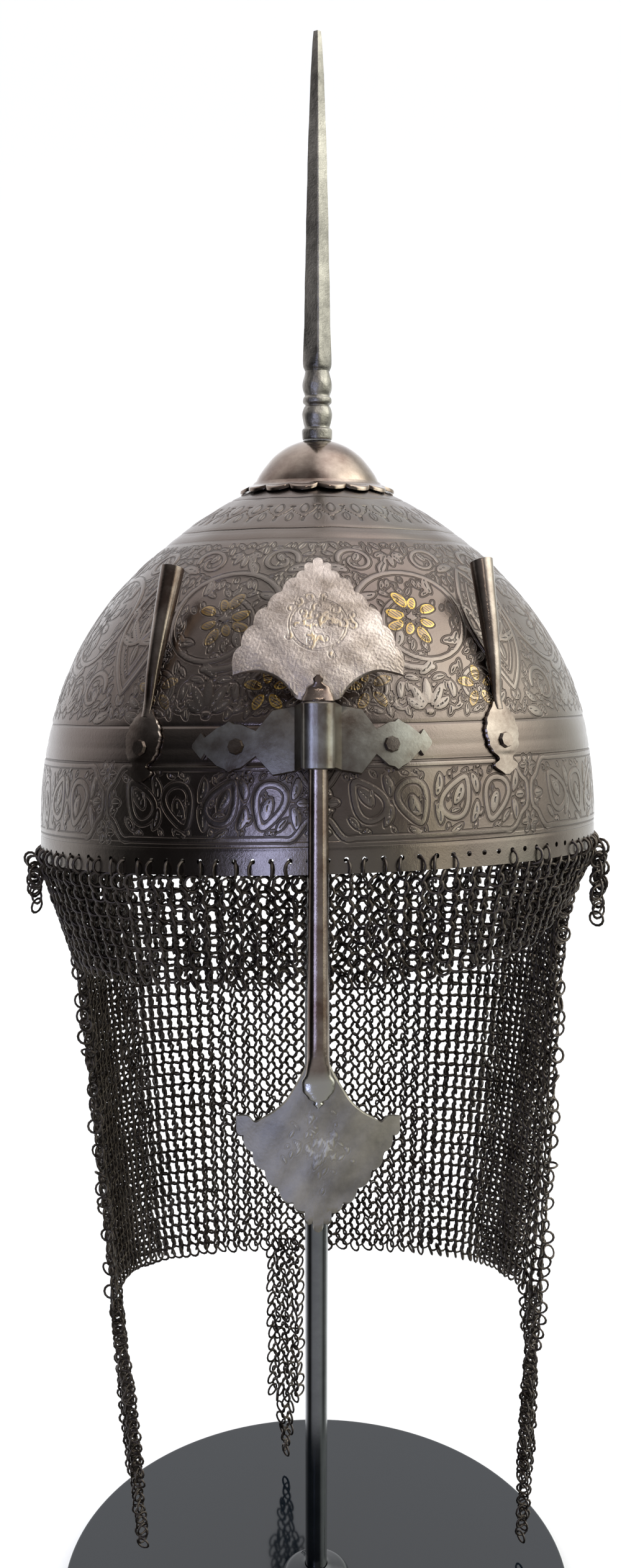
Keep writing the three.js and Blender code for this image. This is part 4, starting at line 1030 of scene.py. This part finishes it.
boss = {"radius": 23.4, "top": 152.6, "wall": 1.5, "flange": 5.6, "plate": 1.1, "lobes": 16,
        "lobeDepth": 2.2, "gap": 0.3,
        "bell": [(0.0, 1), (0.23, 0.985), (0.47, 0.87), (0.67, 0.69), (0.81, 0.49), (0.93, 0.27),
                 (1, 0.08)]}
print("kulah khud: boss, spike and fittings")


def domeHeight(radius):  # the inverse of domeRadius
    share = (np.asarray(radius, float) / dome["radius"]) ** (1 / dome["point"])
    return dome["height"] * (1 - share) ** (1 / dome["fullness"])


def seatHeight(radius):
    return domeHeight(radius) + boss["gap"] / np.cos(domeSlope(domeHeight(radius)))


def makeBoss():
    foot = float(domeHeight(boss["radius"])) + boss["gap"]
    rise = boss["top"] - foot
    bell = drawnThrough(boss["bell"], 34) * (boss["radius"], rise) + (0, foot)
    edge = boss["radius"] + boss["flange"]
    brim = [(r, float(seatHeight(r)) + boss["plate"] * t) for r, t in (
        (boss["radius"] + 0.4, 1.7), (boss["radius"] + 1.0, 1.25), (boss["radius"] + 1.8, 1.0),
        (edge - 2.4, 1.05), (edge - 1.0, 1.3), (edge - 0.25, 1.3), (edge, 1.0), (edge, 0.15),
        (edge - 0.4, 0.0), (edge - 2.4, 0.0), (boss["radius"], 0.0))]
    inside = [(r - 0.8 * boss["wall"], z - boss["wall"]) for r, z in bell[:1:-2] if r > 3]

    def lobed(turn, radius, height):
        share = np.clip((radius - boss["radius"] - 1.0) / (boss["flange"] - 1.0), 0, 1)
        inward = boss["lobeDepth"] * share * (1 - np.abs(np.sin(boss["lobes"] / 2 * turn)) ** 0.8)
        drawn = radius - inward
        wave = 0.25 * share * np.sin(5 * turn + 1) + 0.15 * share * np.sin(11 * turn)
        return drawn, height + seatHeight(drawn) - seatHeight(radius) + np.maximum(0, wave) * (share > 0)

    rings = spun(bell[1:], 192) + spun(brim, 192, lobed) + spun(inside, 192)
    top = np.array([[0, 0, boss["top"]]])
    under = np.array([[0, 0, boss["top"] - boss["wall"]]])
    rings = [toRow(ring) for ring in (top, *rings, under)]
    return meshPiece("bossBell", np.vstack(rings), joinRings([len(r) for r in rings]), 40)


spike = {"foot": 152.9, "neckHeight": 25.4, "neckRadius": 5.4, "blade": 124.7, "bladeHalf": 5.4,
         "turn": 4.0,
         "neck": [(1, 0), (1.04, 0.03), (1.02, 0.14), (0.86, 0.18), (0.95, 0.25), (1.04, 0.36),
                  (0.92, 0.46), (0.82, 0.5),
                  (0.98, 0.54), (0.98, 0.6), (0.87, 0.64), (0.98, 0.72), (1, 0.82), (0.88, 0.94),
                  (0.82, 1)],
         "taper": [(0.72, -0.02), (0.86, 0), (1, 0.035), (0.93, 0.2), (0.8, 0.45), (0.68, 0.65),
                   (0.5, 0.85), (0.36, 0.96), (0.27, 1)]}


def makeSpike():
    turn = np.arange(48) * 2 * math.pi / 48
    rings = []
    for out, up in drawnThrough(spike["neck"], 72):
        beaten = 1 + 0.012 * np.cos(6 * turn + 20 * up) + 0.008 * np.cos(11 * turn - 9 * up)
        radius = out * spike["neckRadius"] * beaten
        rings.append(np.stack([radius * np.sin(turn), -radius * np.cos(turn),
                               spike["foot"] + up * spike["neckHeight"] + 0 * turn], 1))
    for out, up in drawnThrough(spike["taper"][1:], 60):
        # a square bar: its flats are wide on the blade, and its corners hammered down near the neck
        power = 1.02 + 0.5 * (1 - float(eased(0.0, 0.09, up)))
        angle = turn - math.radians(spike["turn"])
        square = (np.abs(np.sin(angle)) ** power + np.abs(np.cos(angle)) ** power) ** (-1 / power)
        wave = 1 + 0.012 * math.sin(31 * up) + 0.008 * math.sin(73 * up + 1)
        radius = out * spike["bladeHalf"] * square * wave
        rings.append(np.stack([radius * np.sin(turn), -radius * np.cos(turn),
                               spike["foot"] + spike["neckHeight"] + up * spike["blade"] + 0 * turn], 1))
    rings[-1][:, 2] -= 0.25
    return tube("forgedSpike", [toRow(ring) for ring in rings], 28)


# plume tubes: rolled sheet on a leaf-shaped foot

plume = {"rise": 30.3, "footHeight": 24.6, "footWidth": 15.8, "plate": 1.3, "length": 50.0, "lean": 2.2,
         "mouth": 4.1,
         "wall": 0.8, "gap": 0.3, "rivetRise": 11.5,
         "foot": [(0, 0.08), (0.05, 0.34), (0.1, 0.62), (0.15, 0.68), (0.2, 0.42), (0.25, 0.44),
                  (0.31, 0.7), (0.4, 0.88), (0.52, 0.94), (0.58, 1),
                  (0.66, 0.94), (0.8, 0.78), (0.92, 0.44), (1, 0.28)],
         "tube": [(-0.06, 0.4, 0.2), (0.05, 0.46, 0.26), (0.25, 0.62, 0.52), (0.55, 0.8, 0.76), (1, 1, 1)],
         "left": {"turn": -36.0, "lift": 0.0, "tilt": 0.0},
         "right": {"turn": 38.4, "lift": 0.4, "tilt": 6.0}}


def makePlume(side):
    place = plume[side]
    rise = plume["rise"] + place["lift"]
    rivetHeight = rise + plume["rivetRise"]

    outline = drawnThrough(plume["foot"], 90)
    up, wide = np.clip(outline[:, 0], 0, 1), outline[:, 1]
    leafPart = eased(0.26, 0.34, up) * eased(0.98, 0.86, up)
    wide = wide * (1 - 0.07 * leafPart * (1 - np.abs(np.sin(up * 27))))
    across = np.array([-1, -0.94, -0.75, -0.5, -0.25, 0, 0.25, 0.5, 0.75, 0.94, 1])
    sides, i, j = np.meshgrid([0, 1], np.arange(90), np.arange(11), indexing="ij")
    border = (np.abs(across[j]) == 1) | (i == 0) | (i == 89)
    dish = 0.35 * (1 - across[j] ** 2) * leafPart[i]
    off = plume["gap"] + sides * (plume["plate"] * np.where(border, 0.55, 0.86) + dish)
    foot = onBowl(wide[i] * plume["footWidth"] / 2 * across[j], rise + up[i] * plume["footHeight"], off)
    foot = turnedTo(foot.reshape(-1, 3), place["turn"], rivetHeight)

    slope = float(domeSlope(rise + plume["footHeight"])) + math.radians(plume["lean"])
    _, footY, footZ = onBowl(0.0, rise + plume["footHeight"], plume["gap"] + plume["plate"] / 2)
    turn = np.arange(40) * 2 * math.pi / 40

    def ring(share, wide, deep, shrink):
        along = share * plume["length"]
        lifted = (deep - 0.15) * plume["mouth"] * 0.8
        drift = max(0, along) * math.tan(math.radians(place["tilt"]))
        sideways = (wide * plume["mouth"] - shrink) * np.sin(turn) + drift
        out = (deep * plume["mouth"] - shrink) * np.cos(turn) + lifted
        points = np.stack([sideways, footY + along * math.sin(slope) - out * math.cos(slope),
                           footZ + along * math.cos(slope) + out * math.sin(slope)], 1)
        return turnedTo(points, place["turn"], rivetHeight)

    rows = drawnThrough(plume["tube"], 34)
    rings = [ring(*row, 0) for row in rows[:-1]]
    rings += [ring(0.997, 1.0, 1.0, 0), ring(1.0, 1.0, 1.0, 0.2), ring(1.0, 1.0, 1.0, 0.6),
              ring(0.995, 1.0, 1.0, plume["wall"])]
    rings += [ring(*row, plume["wall"]) for row in rows[-2:12:-3]]
    rings = [rings[0].mean(0)[None], *rings, rings[-1].mean(0)[None]]
    faces = joinRings([len(r) for r in rings])
    body = np.vstack(rings)
    plate = plateFaces(90, 11)
    faces = faces + [tuple(k + len(body) for k in f) for f in plate]
    return meshPiece("plumeTube" + side.capitalize(), toRow(np.vstack([body, foot])), faces, 32)


# nasal bracket: one strap bent into a sleeve, riveted through both wings

bracket = {"rise": 46.1, "height": 22.0, "reach": 40.2, "longer": 0.055, "droop": 4.0, "plate": 1.6,
           "wall": 1.4, "gap": 0.3,
           "slide": 0.35, "rivetReach": 25.6,
           "strap": [(0.19, 0.98, 0.4), (0.36, 0.98, 0.7), (0.49, 0.38, 0.75), (0.605, 0.66, 0.95),
                     (0.66, 0.69, 1),
                     (0.695, 0.78, 1), (0.73, 0.68, 1), (0.79, 0.58, 1), (0.895, 0.24, 0.9),
                     (0.925, 0.4, 0.9), (1, 0.05, 0.95)],
           "arch": [(0, 1), (0.5, 0.96), (0.86, 0.8), (1, 0.45), (1, 0)]}
bar = {"standoff": 4.0, "width": 7.6, "thick": 5.8, "drop": 97.0, "pad": 10.9, "padThick": 1.6,
       "padLength": 13.6}
barBack = dome["radius"] + bar["standoff"]


def makeBracket():
    arch = [("arch", w, d) for w, d in drawnThrough(bracket["arch"], 22)]
    table = np.array(bracket["strap"])
    strap = []
    for k in range(len(table) - 1):
        for t in np.linspace(0, 1, 7)[:-1]:
            strap.append(("strap", *(table[k] + t * (table[k + 1] - table[k]))))
    strap.append(("strap", *table[-1]))
    half = arch + strap
    stations = [(-1, row) for row in half[:0:-1]] + [(1, row) for row in half]
    rows = np.array([-1, -0.955, -0.8, -0.6, -0.4, -0.2, 0, 0.2, 0.4, 0.6, 0.8, 0.955, 1])
    points = np.zeros((2, len(stations), len(rows), 3))
    bevel = np.where(np.abs(rows) == 1, 0.45, 1.0)
    for i, (mirror, (kind, *values)) in enumerate(stations):
        for side in (0, 1):
            if kind == "strap":
                reach, tall, droop = values
                height = bracket["rise"] - droop * bracket["droop"] + rows * tall * bracket["height"] / 2
                longer = 1 - mirror * bracket["longer"] * min(1, 2 * reach - 0.38)
                spot = onBowl(reach * longer * bracket["reach"] + 0 * rows, height,
                              bracket["gap"] + side * bracket["plate"] * bevel)
                spot[:, 0] *= mirror
                spot[:, 2] += tiltLift(spot[:, 0], height)
            else:
                wide, deep = values
                height = bracket["rise"] + rows * bracket["height"] / 2
                wall = side * bracket["wall"] * bevel
                x = mirror * wide * (bar["width"] / 2 + bracket["slide"] + wall)
                y = -(barBack - bracket["slide"] + deep * (bar["thick"] + 2 * bracket["slide"] + wall))
                spot = np.stack([x, y, height], 1)
            points[side, i] = spot
    return meshPiece("nasalBracket", toRow(points.reshape(-1, 3)), plateFaces(len(stations), len(rows)), 30)


# nasal: a bar with a palmette at each end, which slides in the bracket

def makeBar():
    top = bracket["rise"] + bracket["height"] / 2 + 0.3
    neck = bracket["rise"] - bracket["height"] / 2 - bar["drop"]
    back = palmette["thick"] + 0.3
    long, thick = bar["padLength"], bar["padThick"]
    half, pad = bar["width"] / 2, bar["pad"] / 2
    front = back + thick
    table = np.array([
        (top + 0.62 * long, 0.1 * pad, back + 1.38 * thick, front + 0.5 * thick),
        (top + 0.52 * long, 0.32 * pad, back + 0.44 * thick, front + 0.25 * thick),
        (top + 0.44 * long, 0.26 * pad, back + 0.31 * thick, front),
        (top + 0.3 * long, 0.7 * pad, back + 0.06 * thick, front),
        (top, pad, back, bar["thick"]), (top - 0.2, 0.86 * half, back, bar["thick"]),
        (top - 0.15 * long, 0.86 * half, 0, bar["thick"]),
        (neck + 0.6 * bar["drop"], 0.93 * half, 0, bar["thick"]),
        (neck + 0.22 * long, half, 0, bar["thick"]),
        (neck + 0.3, half, back, 0.9 * bar["thick"]),
        (neck - 0.2 * long, 0.76 * pad, back, front + 0.5 * thick),
        (neck - 0.42 * long, pad, back, front), (neck - 0.62 * long, 0.96 * pad, back, front),
        (neck - 0.82 * long, 0.62 * pad, back, front), (neck - 0.9 * long, 0.26 * pad, back, front),
        (neck - 0.95 * long, 0.32 * pad, back, front), (neck - 1.05 * long, 0.08 * pad, back, front)])
    a = np.linspace(0, math.pi, 19)
    across = np.concatenate([[-1], np.sign(np.cos(a)) * np.abs(np.cos(a)) ** 0.7])
    out = np.concatenate([[0], 0.14 + 0.86 * np.sin(a) ** 0.8])
    out[1] = 0.0

    def section(height, wide, near, far):
        return np.stack([across * wide, -(barBack + near + out * (far - near)), height + 0 * out], 1)

    rings = []
    for k in range(len(table) - 1):
        pieces = 12 if abs(table[k][0] - table[k + 1][0]) > 20 else 4
        for t in np.linspace(0, 1, pieces + 1)[:-1]:
            soft = t * t * (3 - 2 * t) if k > 9 or k < 4 else t
            rings.append(section(*(table[k] + (table[k + 1] - table[k]) * (t, soft, t, t))))
    rings.append(section(*table[-1]))
    return tube("nasalBar", [toRow(ring) for ring in rings], 38)


palmette = {"width": 54.6, "height": 56.0, "thick": 1.8, "lobes": 6, "lobeDepth": 1.7, "dish": 130.0,
            "tip": [(0, 1), (0.045, 0.99), (0.065, 0.965), (0.055, 0.945), (0.12, 0.955), (0.165, 0.935),
                    (0.15, 0.91),
                    (0.1, 0.895), (0.13, 0.885)],
            "lower": {"near": [(0, 0), (0.13, 0), (0.2, 0.06), (0.37, 0.2), (0.51, 0.27), (0.65, 0.315),
                               (0.76, 0.345), (0.85, 0.31), (1, 0.315)],
                      "side": [(0.13, 0.885), (0.34, 0.82), (0.55, 0.7), (0.74, 0.57), (0.88, 0.44),
                               (0.98, 0.36)],
                      "neck": bracket["rise"] - bracket["height"] / 2 - bar["drop"], "way": -1,
                      "lean": (0, 0), "pitted": 0.015, "seed": 3,
                      "medallion": False},
            "upper": {"near": [(0, 0), (0.15, 0), (0.26, 0.01), (0.34, 0.06), (0.46, 0.12), (0.6, 0.16),
                               (0.74, 0.18), (0.88, 0.175), (1.03, 0.16)],
                      "side": [(0.13, 0.885), (0.3, 0.81), (0.51, 0.67), (0.72, 0.54), (0.9, 0.37),
                               (1.03, 0.21)],
                      "neck": bracket["rise"] + bracket["height"] / 2 + 0.3, "way": 1, "lean": (12, 50),
                      "pitted": 0.07, "seed": 8,
                      "medallion": True}}


def along(table, share):
    table = np.asarray(table, float)
    place = np.clip(share, 0, 1) * (len(table) - 1)
    return np.stack([np.interp(place, np.arange(len(table)), table[:, k]) for k in (0, 1)], 1)


def makePalmette(name, form):
    count, crown, last = 106, 4, 4 + 2 * palmette["lobes"]
    q = np.linspace(0, last, count)
    far = np.where(q[:, None] <= crown, along(palmette["tip"], q / crown),
                   along(form["side"], (q - crown) / (last - crown)))
    lobe = np.abs(np.sin(math.pi * (q - crown) / 2)) ** 0.7
    bulge = np.where(q > crown, palmette["lobeDepth"] * (lobe - 0.25 * eased(last, crown, q)), 0)
    far = far * (palmette["width"] / 2, palmette["height"]) + np.stack([0.6 * bulge, 0.8 * bulge], 1)
    near = drawnThrough(form["near"], count) * (palmette["width"] / 2, palmette["height"])
    near[0, 0] = far[0, 0] = 0
    mirror = (-1, 1)
    near = np.vstack([near[:0:-1] * mirror, near])
    far = np.vstack([far[:0:-1] * mirror, far])
    rows = np.concatenate([[0, 0.02], np.linspace(0.05, 0.95, 56), [0.98, 1]])
    sides, i, j = np.meshgrid([0, 1], np.arange(len(near)), np.arange(len(rows)), indexing="ij")
    flat = near[i] + (far[i] - near[i]) * rows[j][..., None]
    x, up = flat[..., 0], flat[..., 1]
    marks, work = random.Random(form["seed"]), np.full(x.shape, 5.0)
    if form["medallion"]:
        work = np.minimum(work, strokeGap(x, up, wound(9.4, 9.4, 0, 360, 0, 40) + (0, 26), 0.05))
        for _ in range(34):  # worn scrollwork inside the ring, and a little outside it
            away = marks.uniform(1.5, 8.2) if marks.random() < 0.8 else marks.uniform(10.5, 12.5)
            side = marks.uniform(0, 360)
            curl = wound(marks.uniform(0.8, 1.9), 0.5, marks.uniform(0, 360),
                         marks.choice((-1, 1)) * marks.uniform(120, 300), 0.2, 9)
            spot = (away * math.cos(math.radians(side)), 26 + away * math.sin(math.radians(side)))
            work = np.minimum(work, strokeGap(x, up, curl + spot, np.linspace(0.34, 0.08, 9)))
    else:
        for _ in range(70):  # short bright scratches
            spot = np.array([marks.gauss(0, 4.6), 27 + marks.gauss(0, 4.6)])
            way = math.radians(marks.choice((35, 125)) + marks.gauss(0, 14))
            stroke = np.array([math.cos(way), math.sin(way)]) * marks.uniform(0.4, 1.5)
            work = np.minimum(work,
                              strokeGap(x, up, np.array([spot - stroke, spot, spot + stroke]),
                                        np.array([0.05, 0.32, 0.05])))
    start, end = (math.radians(v) for v in form["lean"])
    bend = (end - start) / palmette["height"]
    lean = start + bend * up
    if bend:
        away, rise = (math.cos(start) - np.cos(lean)) / bend, (np.sin(lean) - math.sin(start)) / bend
    else:
        away, rise = up * math.sin(start), up * math.cos(start)
    border = (rows[j] == 0) | (rows[j] == 1) | (i == 0) | (i == len(near) - 1)
    pitAcross = np.sin(2.9 * x + 1.3 * np.sin(1.7 * up))
    pitUp = np.sin(3.3 * up + 1.5 * np.sin(2.1 * x))
    dent = (0.1 * np.sin(x / 3.1 + 1) * np.sin(up / 4.3) + 0.06 * np.sin(x / 1.7 + up / 2.3)
            + form["pitted"] * pitAcross * pitUp)
    raised = sides * (0.14 * eased(0.3, -0.2, work) + dent)
    off = sides * palmette["thick"] * np.where(border, 0.5,
                                               0.9) + raised * ~border - x * x / (2 * palmette["dish"])
    points = np.stack([x, -(barBack - away + off * np.cos(lean)),
                       form["neck"] + form["way"] * (rise + off * np.sin(lean))], -1)
    return meshPiece(name, toRow(points.reshape(-1, 3)), plateFaces(len(near), len(rows)), 40,
                     {"work": work.ravel()})


# rivets, grown by Geometry Nodes on their seats

rivets = {"headRadius": 2.85, "headHeight": 0.9, "facets": 8, "taper": 0.86, "gap": 0.3}


def rivetTree(material):  # one hammered, faceted head stood on every point
    tree, start = pointTree("rivetHeads", (("Head radius", "Float"), ("Head height", "Float"),
                                           ("Facets", "Int")))
    given = start.outputs
    upper = addNode(tree, "ShaderNodeMath", {0: given["Head radius"], 1: rivets["taper"]},
                    operation="MULTIPLY")
    head = addNode(tree, "GeometryNodeMeshCone",
                   {"Vertices": given["Facets"], "Radius Top": upper.outputs[0],
                    "Radius Bottom": given["Head radius"], "Depth": given["Head height"]})
    return standOnPoints(tree, start, head.outputs["Mesh"], material, False)


def rivetSeats():
    wing = bracket["rise"] - bracket["droop"]
    turn = math.degrees(bracket["rivetReach"] / float(domeRadius(wing)))
    seats = [(-turn * (1 + bracket["longer"]), wing, bracket["plate"]),
             (turn * (1 - bracket["longer"]), wing, bracket["plate"])]
    for side in ("left", "right"):
        seats.append((plume[side]["turn"], plume["rise"] + plume[side]["lift"] + plume["rivetRise"],
                      plume["plate"]))
    centres, axes, scales = [], [], []
    for angle, height, plate in seats:  # a head outside and its spread tail inside the bowl
        top = 2 * rivets["gap"] + plate - 0.35
        for off, scale in ((top + rivets["headHeight"] * 0.4, 1.0), (-dome["wall"] - 0.75, -0.8)):
            spots = [turnedTo(onBowl(0.0, height, o)[None], angle, height)[0] for o in (off, off + 1)]
            spot, ahead = toRow(np.array(spots))
            centres.append(spot)
            axes.append((ahead - spot) * np.sign(scale))
            scales.append(abs(scale))
    return np.array(centres), np.array(axes), np.array(scales)


bossPiece, spikePiece = makeBoss(), makeSpike()
plumeLeft, plumeRight = makePlume("left"), makePlume("right")
bracketPiece, barPiece = makeBracket(), makeBar()
upperPiece = makePalmette("upperPalmette", palmette["upper"])
lowerPiece = makePalmette("lowerPalmette", palmette["lower"])
centres, axes, scales = rivetSeats()
rivetPiece = grownPiece("rivetHeads", rivetTree(forged), centres,
                        facing(axes, np.tile([1.0, 0.0, 0.0], (len(axes), 1))), scales,
                        {"Head radius": rivets["headRadius"] * 0.001,
                         "Head height": rivets["headHeight"] * 0.00125, "Facets": rivets["facets"]})

# stand: a turned and lacquered disc, its collar and the pole

stand = {"radius": 112.5, "thick": 6.0, "bevel": 0.8, "poleRadius": 4.75, "collarRadius": 15.0,
         "collarHeight": 10.0, "gap": 0.3}


def makeDisc():
    r, t, b = stand["radius"], stand["thick"], stand["bevel"]
    arc = [(b * math.sin(a), b * (1 - math.cos(a))) for a in np.linspace(0, math.pi / 2, 5)]
    profile = [(r * s, 0) for s in (0.3, 0.7, 0.97)] + [(r - b + x, y) for x, y in arc]
    profile += [(r - b + x, t - y) for x,
                y in arc[::-1]] + [(r * s, t) for s in (0.985, 0.9, 0.7, 0.45, 0.2)]
    return tube("standDisc", spun(profile, 192), 60)


def makeCollar():
    foot, bore = stand["thick"] + stand["gap"], stand["poleRadius"] + stand["gap"]
    rim, tall = stand["collarRadius"], stand["collarHeight"]
    outside = drawnThrough([(0.93 * rim, 0), (rim, 0.15), (0.97 * rim, 0.5), (0.84 * rim, 0.75),
                            (0.62 * rim, 0.86), (0.44 * rim, 0.93), (bore, 1)], 30)
    profile = [(r, foot + h * tall) for r, h in outside] + [(bore, foot + 0.5 * tall), (bore, foot)]
    rings = spun(profile, 96)
    rings.append(rings[0])
    faces = joinRings([96] * (len(rings) - 1))
    n = 96 * (len(rings) - 2)
    faces += [(n + j, n + (j + 1) % 96, (j + 1) % 96, j) for j in range(96)]
    return meshPiece("standCollar", np.vstack(rings[:-1]), faces, 45)


def makePole():
    low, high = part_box("stand_pole")
    foot, top, r = low.z * 1000, high.z * 1000, stand["poleRadius"]
    heights = [foot, foot + 0.2, *np.linspace(foot + 4, top - 4, 24), top - 0.2, top]
    radii = [r - 0.2, *[r] * (len(heights) - 2), r - 0.2]
    return tube("standPole", spun(list(zip(radii, heights)), 48), 40)


discPiece, collarPiece, polePiece = makeDisc(), makeCollar(), makePole()

# each piece on its body, in its finish

frame["nodes"]["stand_pad"].data.materials.clear()
frame["nodes"]["stand_pad"].data.materials.append(lacquer)
held, sliding = "helmet_and_stand", "nasal"
for piece, body, slot, material, nodes in (
    (band, held, "russet_steel", russet, ["bowl"]),
    (crown, held, "russet_steel", russet, ["bowl"]),
    (bossPiece, held, "russet_steel", bossSteel, ["boss"]),
    (spikePiece, held, "russet_steel", spikeSteel, ["spike"]),
    (plumeLeft, held, "russet_steel", forged, ["plume_tube_left"]),
    (plumeRight, held, "russet_steel", forged, ["plume_tube_right"]),
    (bracketPiece, held, "russet_steel", bracketSteel, ["nasal_bracket"]),
    (rivetPiece, held, "russet_steel", None,
     ["bracket_rivet_left", "bracket_rivet_right", "plume_rivet_left", "plume_rivet_right"]),
    (barPiece, sliding, "russet_steel", barSteel, ["nasal_bar"]),
    (upperPiece, sliding, "grey_steel", pittedSteel, ["upper_palmette"]),
    (lowerPiece, sliding, "grey_steel", greySteel, ["lower_palmette"]),
    (mailRight, held, "mail_wire", None, ["mail_curtain"]),
    (mailBack, held, "mail_wire", None, ["mail_curtain"]),
    (mailLeft, held, "mail_wire", None, ["mail_curtain"]),
    (mailFringe, held, "mail_wire", None, ["mail_fringe"]),
    (discPiece, held, "black_steel", lacquer, ["stand_base"]),
    (collarPiece, held, "black_steel", lacquer, ["stand_collar"]),
    (polePiece, held, "black_steel", poleSteel, ["stand_pole"]),
):
    if material:
        piece.data.materials.clear()
        piece.data.materials.append(material)
    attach(piece, body)
    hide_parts(*nodes)

# camera, floor and light

studio = {
    "eye": (-0.0025, -0.768, 0.701), "pitch": 22.0, "lens": 49.88, "floor": "#f4f4f4", "room": 1.1,
    # each lamp's size, watts, place, aim and tint
    "lamps": {
        "overhead": ((2.4, 1.6), 26.0, (0.0, 0.2, 2.4), (0, 0.05, 0.4), "#fffdf8"),
        "window": ((0.45, 0.7), 7.0, (-0.62, -1.75, 0.86), (0, 0, 0.42), "#b9c8ff"),
        "card": ((0.5, 0.9), 3.0, (1.35, -1.2, 0.9), (0, 0, 0.42), "#e6ead0"),
        "ceiling": ((0.16, 0.1), 1.7, (0.12, -0.95, 1.95), (0, -0.05, 0.5), "#fff6ea"),
    },
    # each glow that the steel mirrors: its way, the dot products at which it starts and is full,
    # and its strength at both
    "glows": {
        "behind": ((0.0, 1.0, 0.0), -0.15, 0.65, 0.0, 1.25),
        "above": ((0.0, 0.0, 1.0), 0.3, 0.95, 0.0, 0.3),
        "acrossFront": ((1.0, 0.0, 0.0), -1.0, 1.0, 0.03, 0.16),
        "right": ((0.9, -0.1, 0.42), 0.75, 1.0, 0.0, 3.0),
        "lamp": ((0.6, 0.1, 0.79), 0.7, 0.98, 0.0, 2.5),
        "below": ((0.1, -0.9, -0.42), 0.5, 0.8, 0.0, 0.45),
    },
}
camera = bpy.data.objects.new("camera", bpy.data.cameras.new("camera"))
camera.data.lens = studio["lens"]
camera.data.sensor_width = 36.0
camera.data.clip_end = 50.0
camera.location = studio["eye"]
camera.rotation_euler = (math.radians(90 - studio["pitch"]), 0, 0)
bpy.context.scene.collection.objects.link(camera)
bpy.context.scene.camera = camera

floorMesh = bpy.data.meshes.new("floor")
floorMesh.from_pydata([(-40, -40, -0.0004), (40, -40, -0.0004), (40, 40, -0.0004), (-40, 40, -0.0004)], [],
                      [(0, 1, 2, 3)])
floor = bpy.data.objects.new("floor", floorMesh)
bpy.context.scene.collection.objects.link(floor)
paper, tree = newMaterial("paleFloor")
shader = addNode(tree, "ShaderNodeBsdfPrincipled",
                 {"Base Color": colour(studio["floor"]), "Roughness": 0.8})
addNode(tree, "ShaderNodeOutputMaterial", {"Surface": shader.outputs["BSDF"]})
floorMesh.materials.append(paper)
floor.visible_glossy = False  # the steel mirrors the dim room in front, not the bright floor


def softbox(name, size, power, place, aim, tint):
    light = bpy.data.lights.new(name, "AREA")
    light.shape = "RECTANGLE"
    light.size, light.size_y = size
    light.energy = power
    light.color = colour(tint)[:3]
    lamp = bpy.data.objects.new(name, light)
    lamp.location = place
    lamp.rotation_euler = (Vector(aim) - Vector(place)).to_track_quat("-Z", "Y").to_euler()
    bpy.context.scene.collection.objects.link(lamp)
    return lamp


softboxes = {name: softbox(name, *values) for name, values in studio["lamps"].items()}
softboxes["overhead"].visible_glossy = False  # it lights the floor and disc; the steel mirrors the glows

# the room is bright behind, overhead and to the right, and dim in front; only reflections see
# the difference, and the floor and the backdrop are lit evenly
world = bpy.data.worlds.new("studio")
world.use_nodes = True
world.node_tree.nodes.clear()
tree = world.node_tree
way = addNode(tree, "ShaderNodeTexCoord").outputs["Generated"]
parts = addNode(tree, "ShaderNodeSeparateXYZ", {"Vector": way})
glow = 0.0
for aim, low, high, dim, full in studio["glows"].values():
    square = addNode(tree, "ShaderNodeVectorMath", {0: way, 1: aim}, operation="DOT_PRODUCT")
    part = addNode(tree, "ShaderNodeMapRange",
                   {"Value": square.outputs["Value"], "From Min": low, "From Max": high,
                    "To Min": dim, "To Max": full}, interpolation_type="SMOOTHSTEP")
    glow = addNode(tree, "ShaderNodeMath", {0: glow, 1: part.outputs["Result"]}, operation="ADD").outputs[0]
seen = addNode(tree, "ShaderNodeLightPath")
strength = addNode(tree, "ShaderNodeMix", {0: seen.outputs["Is Glossy Ray"], 2: studio["room"], 3: glow},
                   data_type="FLOAT")
warmth = addNode(tree, "ShaderNodeMapRange",
                 {"Value": parts.outputs["X"], "From Min": 0.2, "From Max": 0.8})
tint = addNode(tree, "ShaderNodeMath", {0: warmth.outputs["Result"], 1: seen.outputs["Is Glossy Ray"]},
               operation="MULTIPLY")
white = addNode(tree, "ShaderNodeMix", {0: tint.outputs[0], 6: colour("#fbfcff"), 7: colour("#f6fbf2")},
                data_type="RGBA")
air = addNode(tree, "ShaderNodeBackground", {"Color": white.outputs[2], "Strength": strength.outputs[0]})
addNode(tree, "ShaderNodeOutputWorld", {"Surface": air.outputs["Background"]})
bpy.context.scene.world = world
bpy.context.scene.view_settings.view_transform = "Standard"

for piece in bpy.context.scene.objects:
    if piece.type == "MESH":
        piece.data.calc_loop_triangles()
        print("kulah khud:", piece.name, len(piece.data.loop_triangles), "triangles")
